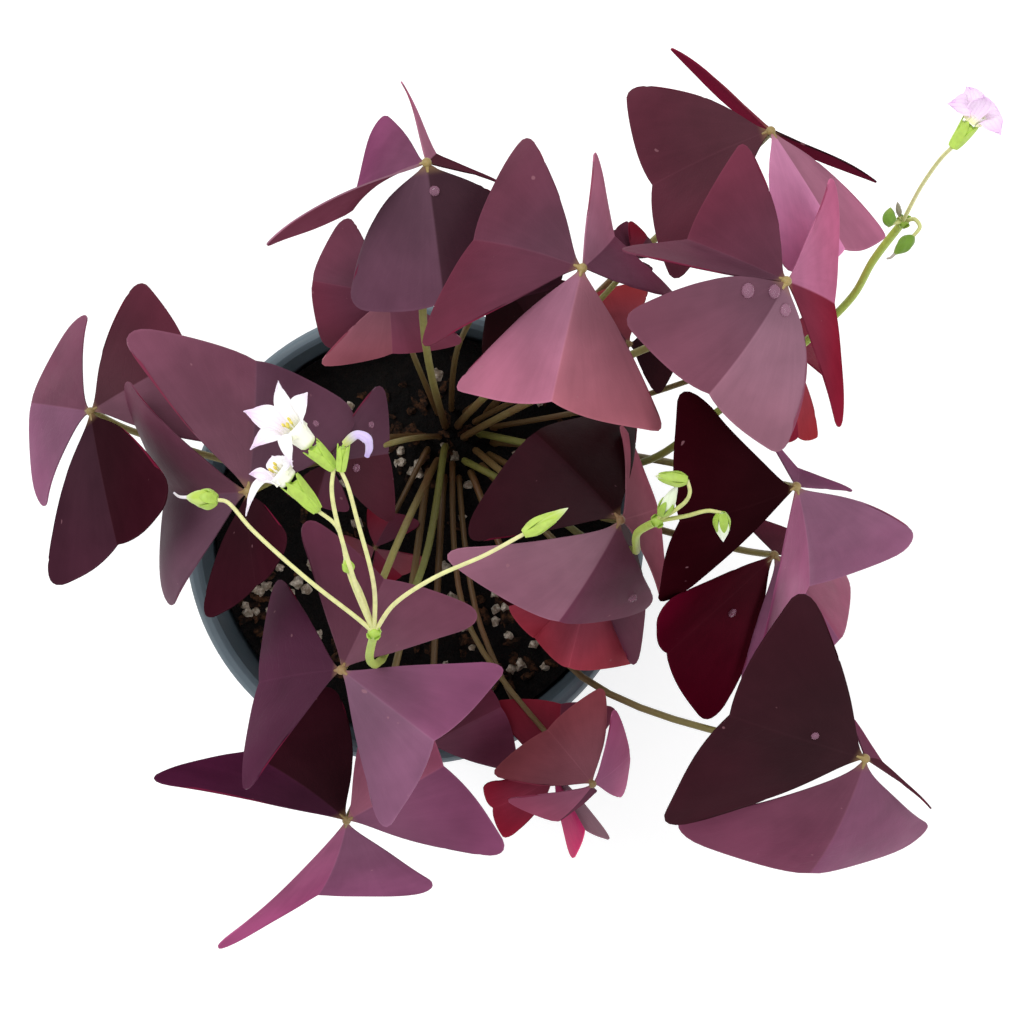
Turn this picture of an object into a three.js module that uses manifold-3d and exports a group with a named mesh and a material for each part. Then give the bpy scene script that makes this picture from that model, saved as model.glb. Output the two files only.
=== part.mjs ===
// Purple shamrock (Oxalis triangularis) in a round nursery pot.
// Millimetres, +Z up, origin at the centre of the pot's underside.
// Every leaf is three folded leaflets on a small hub at the top of its own petiole; the petioles and the
// flower stalks stand in plain holes in the soil, and a pot holds the soil.
import * as THREE from "three";
import { mergeVertices } from "three/addons/utils/BufferGeometryUtils.js";
import Module from "manifold-3d";

const wasm = await Module();
wasm.setup();

// ---------------------------------------------------------------- driving dimensions

const POT = {
  height: 95,
  rimRadius: 57.5,
  rimWidth: 3.8,
  collarHeight: 17,
  collarStep: 1.8, // how far the collar stands out of the wall under it
  collarDraft: 0.3, // how much wider the collar is at the top
  shoulder: 3, // height of the slope inside, from the wall in to the rim
  wall: 1.6,
  baseRadius: 39,
  floor: 2.4,
  edge: 1.2,
  sides: 40,
};
const DRAIN = { count: 5, radius: 3.5, ring: 25, sides: 8 };
const SOIL = { top: 79, gap: 0.3, mound: 2.5, lump: 0.8, rings: 5, sides: 28 };
const CRUMBS = { count: 14, least: 1.2, most: 2.4, margin: 4, clearOfStem: 3, seed: 7 };
const CROWN = { x: 9, y: 25, depth: 9, clearance: 0.6, holeSides: 6 }; // where the stems leave the soil
const STEM = { petioleRadius: 1.05, peduncleRadius: 0.9, pedicelRadius: 0.6, sides: 5, steps: 9 };
const JUNCTION = { radius: 1.5, length: 3 }; // the knot where the pedicels of an umbel part
const BLADE = {
  halfAngle: 47, // from the midrib to the leaflet's straight side edge, degrees
  pinch: 0.5, // how much narrower it is right at the hub
  lobe: 0.05, // how far the two lobes stand out of a straight end
  rounding: 0.86, // where the corner starts to turn in, as a share of the half angle
  sideEnd: 0.8, // length of the side edge, as a share of the unrounded corner
  curl: 15, // how far the midrib bends down along its length, degrees
  cup: 0.1, // how much each half arches
  bulge: 0.2, // how much the side edges stand out between their ends
  foldEase: 1.5, // the fold opens towards the hub over this length
  thickness: 0.7,
  stations: [-1, -0.86, -0.45, 0, 0.45, 0.86, 1], // where the lines of its mesh run, across it
  rows: 3,
  youngRows: 2, // rows of a leaflet shorter than youngLength
  youngLength: 20,
};
const HUB = { radius: 2.2, height: 2.6, gap: 1.2 };
const CALYX = { foot: 0.7, sides: 6, gap: 0.3 }; // the green cup under a flower, and the gap between them
const PETAL = {
  thickness: 0.6,
  waist: 0.4, // width where it leaves the tube, as a share of its full width
  root: 1.5, // how far down the tube it starts
  rise: 0.4, // how far it goes on along the tube before it turns out, as a share of its reach
  lip: 1.6, // how far out of the axis it turns
  stations: [-1, 0, 1],
  rows: 3,
};

// ---------------------------------------------------------------- materials

const matt = (color, roughness) => new THREE.MeshStandardMaterial({ color, roughness, metalness: 0 });
const MATERIAL = {
  pot: matt(0x525f68, 0.55),
  soil: matt(0x2a2019, 0.95),
  petiole: matt(0x97874f, 0.6),
  stalk: matt(0xb7c07a, 0.55),
  plum: matt(0x643c55, 0.5),
  dusky: matt(0x3a1826, 0.5),
  mauve: matt(0x8a5573, 0.5),
  wine: matt(0x7a2a38, 0.5),
  petal: matt(0xe9dcf2, 0.5),
};

// ---------------------------------------------------------------- small tools

const rad = THREE.MathUtils.degToRad;
const point = (x, y, z) => new THREE.Vector3(x, y, z);

/** A random number source that gives the same numbers on every run. */
function seeded(seed) {
  let state = seed;
  return () => {
    state = (state * 16807) % 2147483647;
    return state / 2147483647;
  };
}

/** The manifold-3d solid of a closed geometry. */
function solid(geometry) {
  const bare = geometry.clone();
  bare.deleteAttribute("normal");
  bare.deleteAttribute("uv");
  const merged = mergeVertices(bare, 1e-4);
  return new wasm.Manifold(
    new wasm.Mesh({
      numProp: 3,
      vertProperties: new Float32Array(merged.attributes.position.array),
      triVerts: new Uint32Array(merged.index.array),
    }),
  );
}

/** The geometry of a manifold-3d solid. */
function geometryOf(shape) {
  const mesh = shape.getMesh();
  const geometry = new THREE.BufferGeometry();
  geometry.setAttribute("position", new THREE.BufferAttribute(new Float32Array(mesh.vertProperties), 3));
  geometry.setIndex(new THREE.BufferAttribute(new Uint32Array(mesh.triVerts), 1));
  geometry.computeVertexNormals();
  return geometry;
}

/** One solid from several that overlap, without the scraps that a cut may leave. */
function fuse(geometries) {
  const whole = geometries.map(solid).reduce((sum, piece) => sum.add(piece));
  const bodies = whole.decompose().sort((a, b) => b.volume() - a.volume());
  return geometryOf(bodies[0]);
}

/** A named mesh in the plant's own frame. */
function mesh(name, geometry, material) {
  const made = new THREE.Mesh(geometry, material);
  made.name = name;
  return made;
}

/** A stem of even thickness along a smooth curve through the points. */
function stem(points, radius, steps = STEM.steps) {
  const section = new THREE.Shape();
  for (let k = 0; k < STEM.sides; k += 1) {
    const turn = (2 * Math.PI * k) / STEM.sides;
    const corner = [radius * Math.cos(turn), radius * Math.sin(turn)];
    if (k === 0) section.moveTo(...corner);
    else section.lineTo(...corner);
  }
  section.closePath();
  const path = new THREE.CatmullRomCurve3(points, false, "centripetal");
  return new THREE.ExtrudeGeometry(section, { steps, extrudePath: path, bevelEnabled: false });
}

/** A thin closed sheet: surface(u, v) gives its middle, u runs -1..1 across and v 0..1 along. */
function sheet(surface, thickness, stations, rows) {
  const vertices = [];
  const faces = [];
  const columns = stations.length - 1;
  const count = stations.length * (rows + 1);
  const step = 0.02;
  const clamp = THREE.MathUtils.clamp;
  const normalAt = (u, v) => {
    const across = surface(clamp(u + step, -1, 1), v).sub(surface(clamp(u - step, -1, 1), v));
    const along = surface(u, clamp(v + step, 0, 1)).sub(surface(u, clamp(v - step, 0, 1)));
    return across.cross(along).normalize();
  };
  for (const side of [0.5, -0.5]) {
    for (let j = 0; j <= rows; j += 1) {
      for (let i = 0; i <= columns; i += 1) {
        const u = stations[i];
        const v = j / rows;
        vertices.push(...surface(u, v).addScaledVector(normalAt(u, v), side * thickness).toArray());
      }
    }
  }
  const at = (i, j) => j * (columns + 1) + i;
  const quad = (a, b, c, d) => faces.push(a, b, c, a, c, d);
  for (let j = 0; j < rows; j += 1) {
    for (let i = 0; i < columns; i += 1) {
      const [a, b, c, d] = [at(i, j), at(i + 1, j), at(i + 1, j + 1), at(i, j + 1)];
      quad(a, b, c, d);
      quad(a + count, d + count, c + count, b + count);
    }
  }
  for (let i = 0; i < columns; i += 1) {
    quad(at(i + 1, 0), at(i, 0), at(i, 0) + count, at(i + 1, 0) + count);
    quad(at(i, rows), at(i + 1, rows), at(i + 1, rows) + count, at(i, rows) + count);
  }
  for (let j = 0; j < rows; j += 1) {
    quad(at(0, j), at(0, j + 1), at(0, j + 1) + count, at(0, j) + count);
    quad(at(columns, j + 1), at(columns, j), at(columns, j) + count, at(columns, j + 1) + count);
  }
  const geometry = new THREE.BufferGeometry();
  geometry.setAttribute("position", new THREE.Float32BufferAttribute(vertices, 3));
  geometry.setIndex(faces);
  return withoutCollapsed(geometry);
}

/** The geometry with shared vertices merged and without the triangles that close up to a line. */
function withoutCollapsed(geometry) {
  const merged = mergeVertices(geometry, 1e-4);
  const kept = [];
  for (let k = 0; k < merged.index.count; k += 3) {
    const [a, b, c] = [0, 1, 2].map((n) => merged.index.getX(k + n));
    if (a !== b && b !== c && c !== a) kept.push(a, b, c);
  }
  merged.setIndex(kept);
  return merged;
}

/** A small round body, longer along its axis, with its middle at the point. */
function pod(middle, axis, radius, length) {
  const geometry = new THREE.SphereGeometry(1, 6, 4);
  geometry.scale(radius, length / 2, radius);
  const turn = new THREE.Quaternion().setFromUnitVectors(point(0, 1, 0), axis.clone().normalize());
  return geometry.applyQuaternion(turn).translate(middle.x, middle.y, middle.z);
}

// ---------------------------------------------------------------- pot and soil

/** The pot wall's outer radius at a height under the collar. */
const wallRadius = (z) => {
  const top = POT.height - POT.collarHeight;
  const under = POT.rimRadius - POT.edge - POT.collarStep;
  return POT.baseRadius + ((under - POT.baseRadius) * z) / top;
};

function pot() {
  const collar = POT.height - POT.collarHeight;
  const inner = POT.rimRadius - POT.rimWidth;
  const profile = [
    [0, 0],
    [POT.baseRadius - POT.edge, 0],
    [POT.baseRadius, POT.edge],
    [wallRadius(collar), collar],
    [POT.rimRadius - POT.edge, collar],
    [POT.rimRadius - POT.collarDraft, collar + POT.edge],
    [POT.rimRadius, POT.height - POT.edge],
    [POT.rimRadius - POT.edge, POT.height],
    [inner + POT.edge, POT.height],
    [inner, POT.height - POT.edge],
    [wallRadius(collar) - POT.wall, collar - POT.shoulder],
    [wallRadius(POT.floor) - POT.wall, POT.floor],
    [0, POT.floor],
  ].map(([r, z]) => new THREE.Vector2(r, z));
  const shell = new THREE.LatheGeometry(profile, POT.sides).rotateX(Math.PI / 2);
  let body = solid(shell);
  for (let k = 0; k < DRAIN.count; k += 1) {
    const turn = (2 * Math.PI * k) / DRAIN.count;
    const hole = new THREE.CylinderGeometry(DRAIN.radius, DRAIN.radius, 4 * POT.floor, DRAIN.sides)
      .rotateX(Math.PI / 2)
      .translate(DRAIN.ring * Math.cos(turn), DRAIN.ring * Math.sin(turn), 0);
    body = body.subtract(solid(hole));
  }
  return mesh("pot", geometryOf(body), MATERIAL.pot);
}

/** Height of the soil's uneven top. */
function soilHeight(x, y) {
  const away = Math.hypot(x - CROWN.x, y - CROWN.y) / 60;
  const lumps = Math.sin(x / 4.1 + 1) * Math.cos(y / 3.7) + 0.6 * Math.sin(x / 9 - y / 7);
  return SOIL.top + SOIL.mound * Math.exp(-6 * away * away) + SOIL.lump * lumps;
}

/** The soil as it fills the pot, with a hole for each stem and crumbs of perlite and bark on top. */
function soil(roots) {
  const collar = POT.height - POT.collarHeight;
  const inside = (z) => wallRadius(Math.min(z, collar - POT.shoulder)) - POT.wall - SOIL.gap;
  const bottom = POT.floor + SOIL.gap;
  const edge = inside(SOIL.top);
  const profile = [new THREE.Vector2(0, bottom), new THREE.Vector2(inside(bottom), bottom)];
  for (let k = SOIL.rings; k >= 0; k -= 1) {
    profile.push(new THREE.Vector2((edge * k) / SOIL.rings, SOIL.top));
  }
  const heap = new THREE.LatheGeometry(profile, SOIL.sides).rotateX(Math.PI / 2);
  const place = heap.attributes.position;
  for (let k = 0; k < place.count; k += 1) {
    const onTop = place.getZ(k) > SOIL.top / 2;
    if (onTop) place.setZ(k, soilHeight(place.getX(k), place.getY(k)));
  }
  let body = solid(heap);
  for (const crumb of crumbs(edge, roots)) {
    body = body.add(solid(crumb));
  }
  const width = STEM.petioleRadius + CROWN.clearance;
  const deep = CROWN.depth + CROWN.clearance;
  for (const root of roots) {
    const hole = new THREE.CylinderGeometry(width, width, 2 * deep, CROWN.holeSides)
      .rotateX(Math.PI / 2)
      .translate(root.x, root.y, SOIL.top);
    body = body.subtract(solid(hole));
  }
  return mesh("soil", geometryOf(body), MATERIAL.soil);
}

/** Crumbs half sunk in the soil, clear of the stems. */
function crumbs(edge, roots) {
  const random = seeded(CRUMBS.seed);
  const made = [];
  while (made.length < CRUMBS.count) {
    const size = CRUMBS.least + (CRUMBS.most - CRUMBS.least) * random();
    const out = (edge - CRUMBS.margin) * Math.sqrt(random());
    const turn = 2 * Math.PI * random();
    const [x, y] = [out * Math.cos(turn), out * Math.sin(turn)];
    const clear = roots.every((root) => Math.hypot(root.x - x, root.y - y) > size + CRUMBS.clearOfStem);
    if (clear) {
      const crumb = new THREE.IcosahedronGeometry(size, 0).scale(1, 0.8, 0.7).rotateZ(6 * random());
      made.push(crumb.translate(x, y, soilHeight(x, y) + 0.1 * size));
    }
  }
  return made;
}

// ---------------------------------------------------------------- leaves

/** How far the leaflet reaches at u across it, where 1 is its length along the midrib. */
function reach(u) {
  const across = Math.abs(u);
  const turned = Math.max(0, (across - BLADE.rounding) / (1 - BLADE.rounding));
  const lobe = 1 + BLADE.lobe * Math.sin(Math.PI * across ** 0.85);
  const corner = BLADE.sideEnd + (1 - BLADE.sideEnd) * Math.sqrt(1 - turned * turned);
  return (lobe * corner) / Math.cos(rad(across * BLADE.halfAngle));
}

/** The middle surface of a leaflet: folded along its midrib, arched and curled, then turned to its place. */
function leafletSurface(hub, shape) {
  const [heading, pitch, roll, fold, length, curl = BLADE.curl, cup = BLADE.cup, bulge = BLADE.bulge] = shape;
  const [h, p, r] = [rad(heading), rad(pitch), rad(roll)];
  const along = point(Math.cos(p) * Math.cos(h), Math.cos(p) * Math.sin(h), Math.sin(p));
  const level = point(Math.sin(h), -Math.cos(h), 0);
  const upright = level.clone().cross(along);
  const across = level.clone().multiplyScalar(Math.cos(r)).addScaledVector(upright, Math.sin(r));
  const normal = upright.clone().multiplyScalar(Math.cos(r)).addScaledVector(level, -Math.sin(r));
  return (u, v) => {
    const out = v * length * reach(u);
    const angle = rad(u * BLADE.halfAngle) * (1 + bulge * (1 - v) - BLADE.pinch * (1 - v) ** 6);
    const tilt = rad(fold) * (out / (out + BLADE.foldEase));
    const side = out * Math.sin(angle);
    const forward = out * Math.cos(angle);
    const drop = -Math.abs(side) * Math.sin(tilt) - (cup * side * side) / length;
    const bend = (rad(curl) * forward) / length;
    const radius = length / rad(curl);
    return hub
      .clone()
      .addScaledVector(across, side * Math.cos(tilt))
      .addScaledVector(along, (radius + drop) * Math.sin(bend))
      .addScaledVector(normal, -radius * (1 - Math.cos(bend)) + drop * Math.cos(bend));
  };
}

/** Three leaflets joined by the hub. */
function leafBlade(leaf) {
  const hub = point(...leaf.hub);
  const leaflets = leaf.leaflets.map((shape) => {
    const rows = shape[4] < BLADE.youngLength ? BLADE.youngRows : BLADE.rows;
    return sheet(leafletSurface(hub, shape), BLADE.thickness, BLADE.stations, rows);
  });
  const core = new THREE.OctahedronGeometry(1).scale(HUB.radius, HUB.radius, HUB.height / 2);
  core.translate(...leaf.hub);
  return mesh(`leaf_${leaf.name}_blade`, fuse([core, ...leaflets]), MATERIAL[leaf.colour]);
}

/** Where a stem leaves the soil, from its distance and its side as seen from the middle of the crown. */
function rootOf([distance, side]) {
  const x = CROWN.x + distance * Math.cos(rad(side));
  const y = CROWN.y + distance * Math.sin(rad(side));
  return { x, y };
}

/** The first points of every stem: straight up through its hole in the soil. */
const uprightStart = (start) =>
  [-CROWN.depth, 1, SOIL.mound + 6].map((z) => start.clone().add(point(0, 0, z)));

/**
 * The points that a petiole passes from its root to its tip. It leaves the soil upright, stands aside of the
 * straight line by bend, and has climbed the share rise of its height half way and late close to its tip.
 */
function stemRoute(root, tip, { bend = 0, rise = 0.6, late = 0.8 }) {
  const start = point(root.x, root.y, SOIL.top);
  const chord = tip.clone().sub(start);
  const aside = point(-chord.y, chord.x, 0).normalize().multiplyScalar(bend);
  const middle = start.clone().add(point(0.45 * chord.x, 0.45 * chord.y, rise * chord.z)).add(aside);
  const near = start.clone().add(point(0.9 * chord.x, 0.9 * chord.y, late * chord.z));
  near.addScaledVector(aside, 0.35);
  return [...uprightStart(start), middle, near, tip];
}

function petiole(leaf) {
  const tip = point(...leaf.hub).add(point(0, 0, -HUB.height / 2 - HUB.gap));
  const route = stemRoute(rootOf(leaf.root), tip, leaf);
  return mesh(`leaf_${leaf.name}_petiole`, stem(route, STEM.petioleRadius), MATERIAL.petiole);
}

// Each leaf has its hub, the place of its root in the crown as [distance, side], the way its petiole goes
// (see stemRoute), its colour and three leaflets, each as [heading, pitch, roll, fold, length] and, where
// they aren't the usual ones, its curl, cup and bulge. The heading is anticlockwise from +X, a pitch below 0
// droops, and a fold above 0 stands as a tent over the midrib.
const LEAVES = [
  {
    name: "a", hub: [7, 77, 178], root: [3.4, 120], bend: 2, rise: 0.82, colour: "plum",
    leaflets: [
      [183, -41, -49, -28, 28, 30, 0.1, 0],
      [277, -10, -12, 25, 28.5, 1, 0.1, 0.5],
      [64, -63, -20, -28, 19.5, 25, 0.1, 0.2],
    ],
  },
  {
    name: "b", hub: [38, 53, 196], root: [3.4, 60], bend: -2, colour: "mauve",
    leaflets: [
      [157, -12, -12, -9, 26, 35, 0.15, 0],
      [256, 21, -6, 38, 27.5, 20, 0.1, 0.2],
      [44, -42, -19, -22, 18.5, 25, 0.05, 0.2],
    ],
  },
  {
    name: "c", hub: [78.9, 86, 166], root: [11.2, 34], bend: 2, rise: 0.42, colour: "plum",
    leaflets: [
      [198, -15, -28, -11, 28, 15, 0.15, 0.2],
      [303, 5, 55, 0, 29.5, 5, 0.05, 0.3],
      [64, -71, -7, -10, 32, 15, 0, 0.2],
    ],
  },
  {
    name: "d", hub: [77, 50, 200], root: [3.4, 0], colour: "mauve",
    leaflets: [
      [242, 12, 34, -4, 26.5, 25, 0.15, 0.5],
      [150, -28, -32, -31, 23.5, 5, 0, 0.2],
      [355, -56, 7, -10, 28, 10, 0.15, 0.1],
    ],
  },
  {
    name: "e", hub: [83, 11, 174], root: [11.2, -8], bend: 2, rise: 0.4, colour: "plum",
    leaflets: [
      [205, 32, 44, 10, 28.5, 25, 0.1, -0.1],
      [291, -34, 26, -26, 30, 20, 0.1, 0.2],
      [59, -61, -4, -21, 14, 20, 0.1, 0.2],
    ],
  },
  {
    name: "f", hub: [100, -47, 160], root: [11.2, -62], bend: -24, rise: 0.33, late: 0.75, colour: "dusky",
    leaflets: [
      [162, 19, 25, 3, 33.5, 5, 0, 0.1],
      [258, -22, 19, 11, 36, 25, 0.15, 0],
      [352, -58, 52, -13, 16.5, 20, 0.1, 0.3],
    ],
  },
  {
    name: "g", hub: [-11, -27, 172], root: [7.4, -120], colour: "plum",
    leaflets: [
      [187, -30, -25, -6, 25, 20, 0.1, 0.1],
      [65, -28, -9, -21, 25, 20, 0.1, 0],
      [326, 25, 7, 31, 25.5, 10, 0.1, 0],
    ],
  },
  {
    name: "h", hub: [-13, -64, 138], root: [11.2, -122], bend: 3, late: 0.6, colour: "plum",
    leaflets: [
      [143, -22, -55, -18, 32.5, 20, 0.1, 0.2],
      [31, 23, -4, 10, 27.5, 10, 0.05, 0.1],
      [257, -34, 36, -20, 32, 25, 0.1, 0],
    ],
  },
  {
    name: "i", hub: [-69, 28, 146], root: [11.2, 180], bend: 10, colour: "plum",
    leaflets: [
      [33, -1, 18, -2, 25],
      [170, -38, -3, 8, 26, 15, 0.2, 0],
      [283, 17, -47, -5, 31.5, 5, 0, 0.3],
    ],
  },
  {
    name: "j", hub: [-31, 10, 168], root: [7.4, 180], bend: -4, rise: 0.45, colour: "plum",
    leaflets: [
      [86, -21, -37, 3, 32, 15, 0.1, 0.3],
      [184, -24, 12, -25, 31, 45, 0.25, 0.1],
      [275, 28, -54, -14, 23, 10, 0.1, 0.2],
    ],
  },
  {
    name: "k", hub: [43, -57, 130], root: [7.4, -88], bend: -12, rise: 0.55, late: 0.65, colour: "wine",
    leaflets: [
      [130, -19, -9, -7, 17.5, 20, 0.1, 0.3],
      [24, -28, -33, 7, 13.5, 25, 0.1, 0.1],
      [238, -28, 48, 21, 15],
    ],
  },
  {
    name: "l", hub: [48, 4, 154], root: [7.4, -30], bend: -3, colour: "plum",
    leaflets: [
      [131, -17, -14, 27, 30, 20, 0.1, 0.2],
      [244, -22, 28, 17, 30, 15, 0.15, 0],
      [14, -54, -1, 4, 22.5, 20, 0.1, 0],
    ],
  },
  {
    name: "m", hub: [84, -4, 136], root: [11.2, -26], bend: -4, rise: 0.7, colour: "dusky",
    leaflets: [
      [223, 10, 56, -19, 33.5, 5, 0.1, 0.2],
      [312, -2, 22, 34, 24.5, 20, 0.1, 0.2],
      [48, -47, 20, 5, 13],
    ],
  },
  {
    name: "n", hub: [-3, 54, 146], root: [7.4, 120], colour: "wine",
    leaflets: [[169, -10, 9, 28, 18.5], [272, -40, 12, -7, 17.5], [50, -10, 0, 30, 10]],
  },
  {
    name: "o", hub: [43, -10, 124], root: [11.2, -44], colour: "wine",
    leaflets: [[254, 5, -11, 52, 21.5, 20, 0.1, 0.2], [351, -40, 20, 8, 20], [204, -8, 50, 0, 21]],
  },
  {
    name: "p", hub: [50, 60, 160], root: [7.4, 60], bend: -3, colour: "wine",
    leaflets: [[115, 15, -50, 0, 7], [50, -5, -40, 10, 6], [291, -12, 0, 40, 5]],
  },
  {
    name: "q", hub: [51, 44, 136], root: [7.4, 32], colour: "wine",
    leaflets: [[125, -14, 10, 40, 15], [226, -12, 0, 40, 13], [351, -5, 5, 40, 12]],
  },
  {
    name: "r", hub: [85.2, 43.8, 142], root: [11.2, 12], bend: -3, colour: "wine",
    leaflets: [[357, -22, 30, -14, 10.5], [283, 2, 65, -3, 21.5, 10, 0.1, 0.2], [150, 0, 10, 20, 10]],
  },
  {
    name: "s", hub: [34.9, -58.4, 107], root: [11.2, -80], bend: -6, rise: 0.85, late: 0.76, colour: "wine",
    leaflets: [
      [212, 11, 56, -12, 17, 15, 0.1, 0.3],
      [301, 34, 7, 74, 16, 5, 0.15, 0],
      [84, 6, -12, 15, 17.5],
    ],
  },
  {
    name: "t", hub: [-9.6, -3.2, 98], root: [7.4, -150], colour: "wine",
    leaflets: [[66, -8, 40, -5, 10], [309, -13, -40, 0, 10], [202, 13, 5, 40, 8]],
  },
  {
    name: "u", hub: [-17, 17, 140], root: [3.4, 180], rise: 0.85, colour: "plum",
    leaflets: [[9, -36, -8, -7, 17.5, 15, 0.1, 0.3], [110, 10, 0, 40, 10], [255, 12, 5, 40, 10]],
  },
  {
    name: "v", hub: [4, -50, 114], root: [11.2, -100], rise: 0.5, late: 0.55, colour: "dusky",
    leaflets: [[27, -2, 8, 40, 20], [100, -10, -5, 25, 11], [240, 0, 20, 0, 10]],
  },
  {
    name: "w", hub: [21, 60, 138], root: [7.4, 90], bend: 3, colour: "dusky",
    leaflets: [[305, -5, -5, 30, 17], [80, 5, 0, 40, 14], [207, 0, 8, 40, 10]],
  },
];

// ---------------------------------------------------------------- flower stalks

/** A round cup or tube that runs from one point to another and widens from one radius to the other. */
function funnel(from, to, narrow, wide) {
  const axis = to.clone().sub(from);
  const geometry = new THREE.CylinderGeometry(wide, narrow, axis.length(), CALYX.sides);
  const turn = new THREE.Quaternion().setFromUnitVectors(point(0, 1, 0), axis.clone().normalize());
  const middle = from.clone().addScaledVector(axis, 0.5);
  return geometry.applyQuaternion(turn).translate(middle.x, middle.y, middle.z);
}

/** A stalk with its umbel: pedicels that leave the junction, each with a bud or an open calyx at its end. */
function umbel(spec) {
  const junction = point(...spec.junction);
  const root = rootOf(spec.root);
  const start = point(root.x, root.y, SOIL.top);
  const via = spec.via.map((p) => point(...p));
  const route = [...uprightStart(start), ...via, junction];
  const pieces = [stem(route, STEM.peduncleRadius, spec.steps)];
  pieces.push(pod(junction, point(0, 0, 1), JUNCTION.radius, JUNCTION.length));
  for (const { path, bud, calyx } of spec.pedicels) {
    const points = [junction, ...path.map((p) => point(...p))];
    const end = points[points.length - 1];
    pieces.push(stem(points, STEM.pedicelRadius, 2 * points.length));
    if (bud) {
      const tip = point(...bud.tip);
      const axis = tip.clone().sub(end);
      const middle = end.clone().addScaledVector(axis, 0.45);
      pieces.push(pod(middle, axis, bud.width / 2, 1.1 * axis.length()));
    }
    if (calyx) {
      const top = point(...calyx.top);
      const foot = end.clone().addScaledVector(top.clone().sub(end).normalize(), -CALYX.gap);
      pieces.push(funnel(foot, top, CALYX.foot, calyx.width / 2));
    }
  }
  return mesh(spec.name, fuse(pieces), MATERIAL.stalk);
}

/** One petal: it rises out of the tube and turns outwards to a rounded tip. */
function petalSurface(mouth, way, { tip, width }) {
  const end = point(...tip);
  const reach = end.clone().sub(mouth);
  const out = reach.clone().addScaledVector(way, -reach.dot(way)).normalize();
  const across = way.clone().cross(out);
  const foot = mouth.clone().addScaledVector(way, -PETAL.root);
  const turn = mouth.clone().addScaledVector(way, PETAL.rise * reach.length());
  turn.addScaledVector(out, PETAL.lip);
  return (u, v) => {
    const half = (width / 2) * (PETAL.waist + (1 - PETAL.waist) * Math.sin(0.9 * Math.PI * v ** 1.3));
    const share = v * (1 - 0.12 * u * u * v);
    return foot
      .clone()
      .multiplyScalar((1 - share) ** 2)
      .addScaledVector(turn, 2 * share * (1 - share))
      .addScaledVector(end, share ** 2)
      .addScaledVector(across, half * u);
  };
}

/** A flower: a tube that stands on its calyx, and the petals that it opens into. */
function corolla({ name, foot, mouth, narrow, wide, petals }) {
  const [from, to] = [point(...foot), point(...mouth)];
  const way = to.clone().sub(from).normalize();
  const straps = petals.map((petal) => {
    return sheet(petalSurface(to, way, petal), PETAL.thickness, PETAL.stations, PETAL.rows);
  });
  return mesh(name, fuse([funnel(from, to, narrow, wide), ...straps]), MATERIAL.petal);
}

// Each umbel has the place of its root, the points that its stalk passes in that many steps, the junction
// and its pedicels. A pedicel has the points that it passes, and the tip and width of the bud at its end or
// the top and width of the open calyx.
const UMBELS = [
  {
    name: "umbel_front",
    root: [3.4, -120],
    steps: 14,
    via: [[4, -5, 120], [-3.2, -25, 154], [-3.3, -25.4, 170], [-3.3, -25, 182], [-3, -22, 199]],
    junction: [-1, -16.5, 213],
    pedicels: [
      {
        path: [[-4, -13.5, 216.5], [-12.5, -6.5, 219.5], [-23, 2.5, 216.5], [-28, 7.6, 214], [-30, 8, 213]],
        bud: { tip: [-36, 8.5, 212.5], width: 3.2 },
      },
      {
        path: [[-4, -6.5, 221], [-7, 6, 226.5], [-7.4, 10, 227.5], [-7, 13.5, 228]],
        calyx: { top: [-10.5, 17, 229.5], width: 3.2 },
      },
      {
        path: [[-2.5, -12.5, 216.5], [-5, -5.5, 219.5], [-7, 3, 221.5], [-10.5, 6, 221.5]],
        calyx: { top: [-15, 11, 222], width: 3.8 },
      },
      {
        path: [[-0.5, -7.5, 220.5], [-3, 4.5, 227], [-4.5, 10.5, 229], [-5.6, 13, 229.5]],
        calyx: { top: [-5, 17, 231], width: 1.9 },
      },
      {
        path: [[3, -11, 218], [10.5, -6, 221], [19.5, -2, 222], [26.5, 1.8, 222.5]],
        bud: { tip: [34.5, 6.5, 222.5], width: 2.6 },
      },
      { path: [[-3, -9, 218], [-4.8, -5, 220]], bud: { tip: [-5.8, -2.5, 220.8], width: 1.8 } },
    ],
  },
  {
    name: "umbel_right",
    root: [7.4, -60],
    steps: 14,
    via: [
      [28, 10, 106], [45, -2.5, 121], [51.6, -2.8, 136],
      [51.7, -2.8, 147], [51.2, -2.4, 158], [50, 1.5, 178],
    ],
    junction: [52.6, 4, 195],
    pedicels: [
      { path: [[53.2, 5.2, 197.5]], bud: { tip: [56, 10.8, 201.5], width: 2.4 } },
      {
        path: [[55.7, 6.1, 199], [57.7, 7.9, 201], [58.2, 9.7, 203], [57.6, 11.8, 204]],
        bud: { tip: [51.5, 12.6, 203.5], width: 2.6 },
      },
      { path: [[58, 5, 198], [62, 6, 200.5], [64.4, 5.6, 201]], bud: { tip: [65, 0, 199], width: 2.8 } },
    ],
  },
  {
    name: "umbel_far",
    root: [7.4, 5],
    steps: 16,
    via: [[30, 22, 108], [53.5, 17, 128], [70, 28, 146], [87, 42, 160], [94.5, 50, 173], [96.5, 56, 186]],
    junction: [99.5, 61.5, 199],
    pedicels: [
      { path: [[97.5, 61, 201.5], [96, 60.2, 202.5]], bud: { tip: [96, 63.4, 204.5], width: 2.6 } },
      { path: [[98.4, 62.2, 201.5]], bud: { tip: [97.4, 64.6, 204], width: 1.4 } },
      {
        path: [[101.2, 61.5, 202], [102, 60, 202.5], [101, 58.4, 201.5]],
        bud: { tip: [97.5, 55, 200], width: 2.8 },
      },
      {
        path: [[99, 62.2, 205], [98.8, 65, 218], [98.9, 67.2, 233], [99.5, 68, 238]],
        calyx: { top: [102, 71.5, 240], width: 3 },
      },
    ],
  },
];

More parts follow.
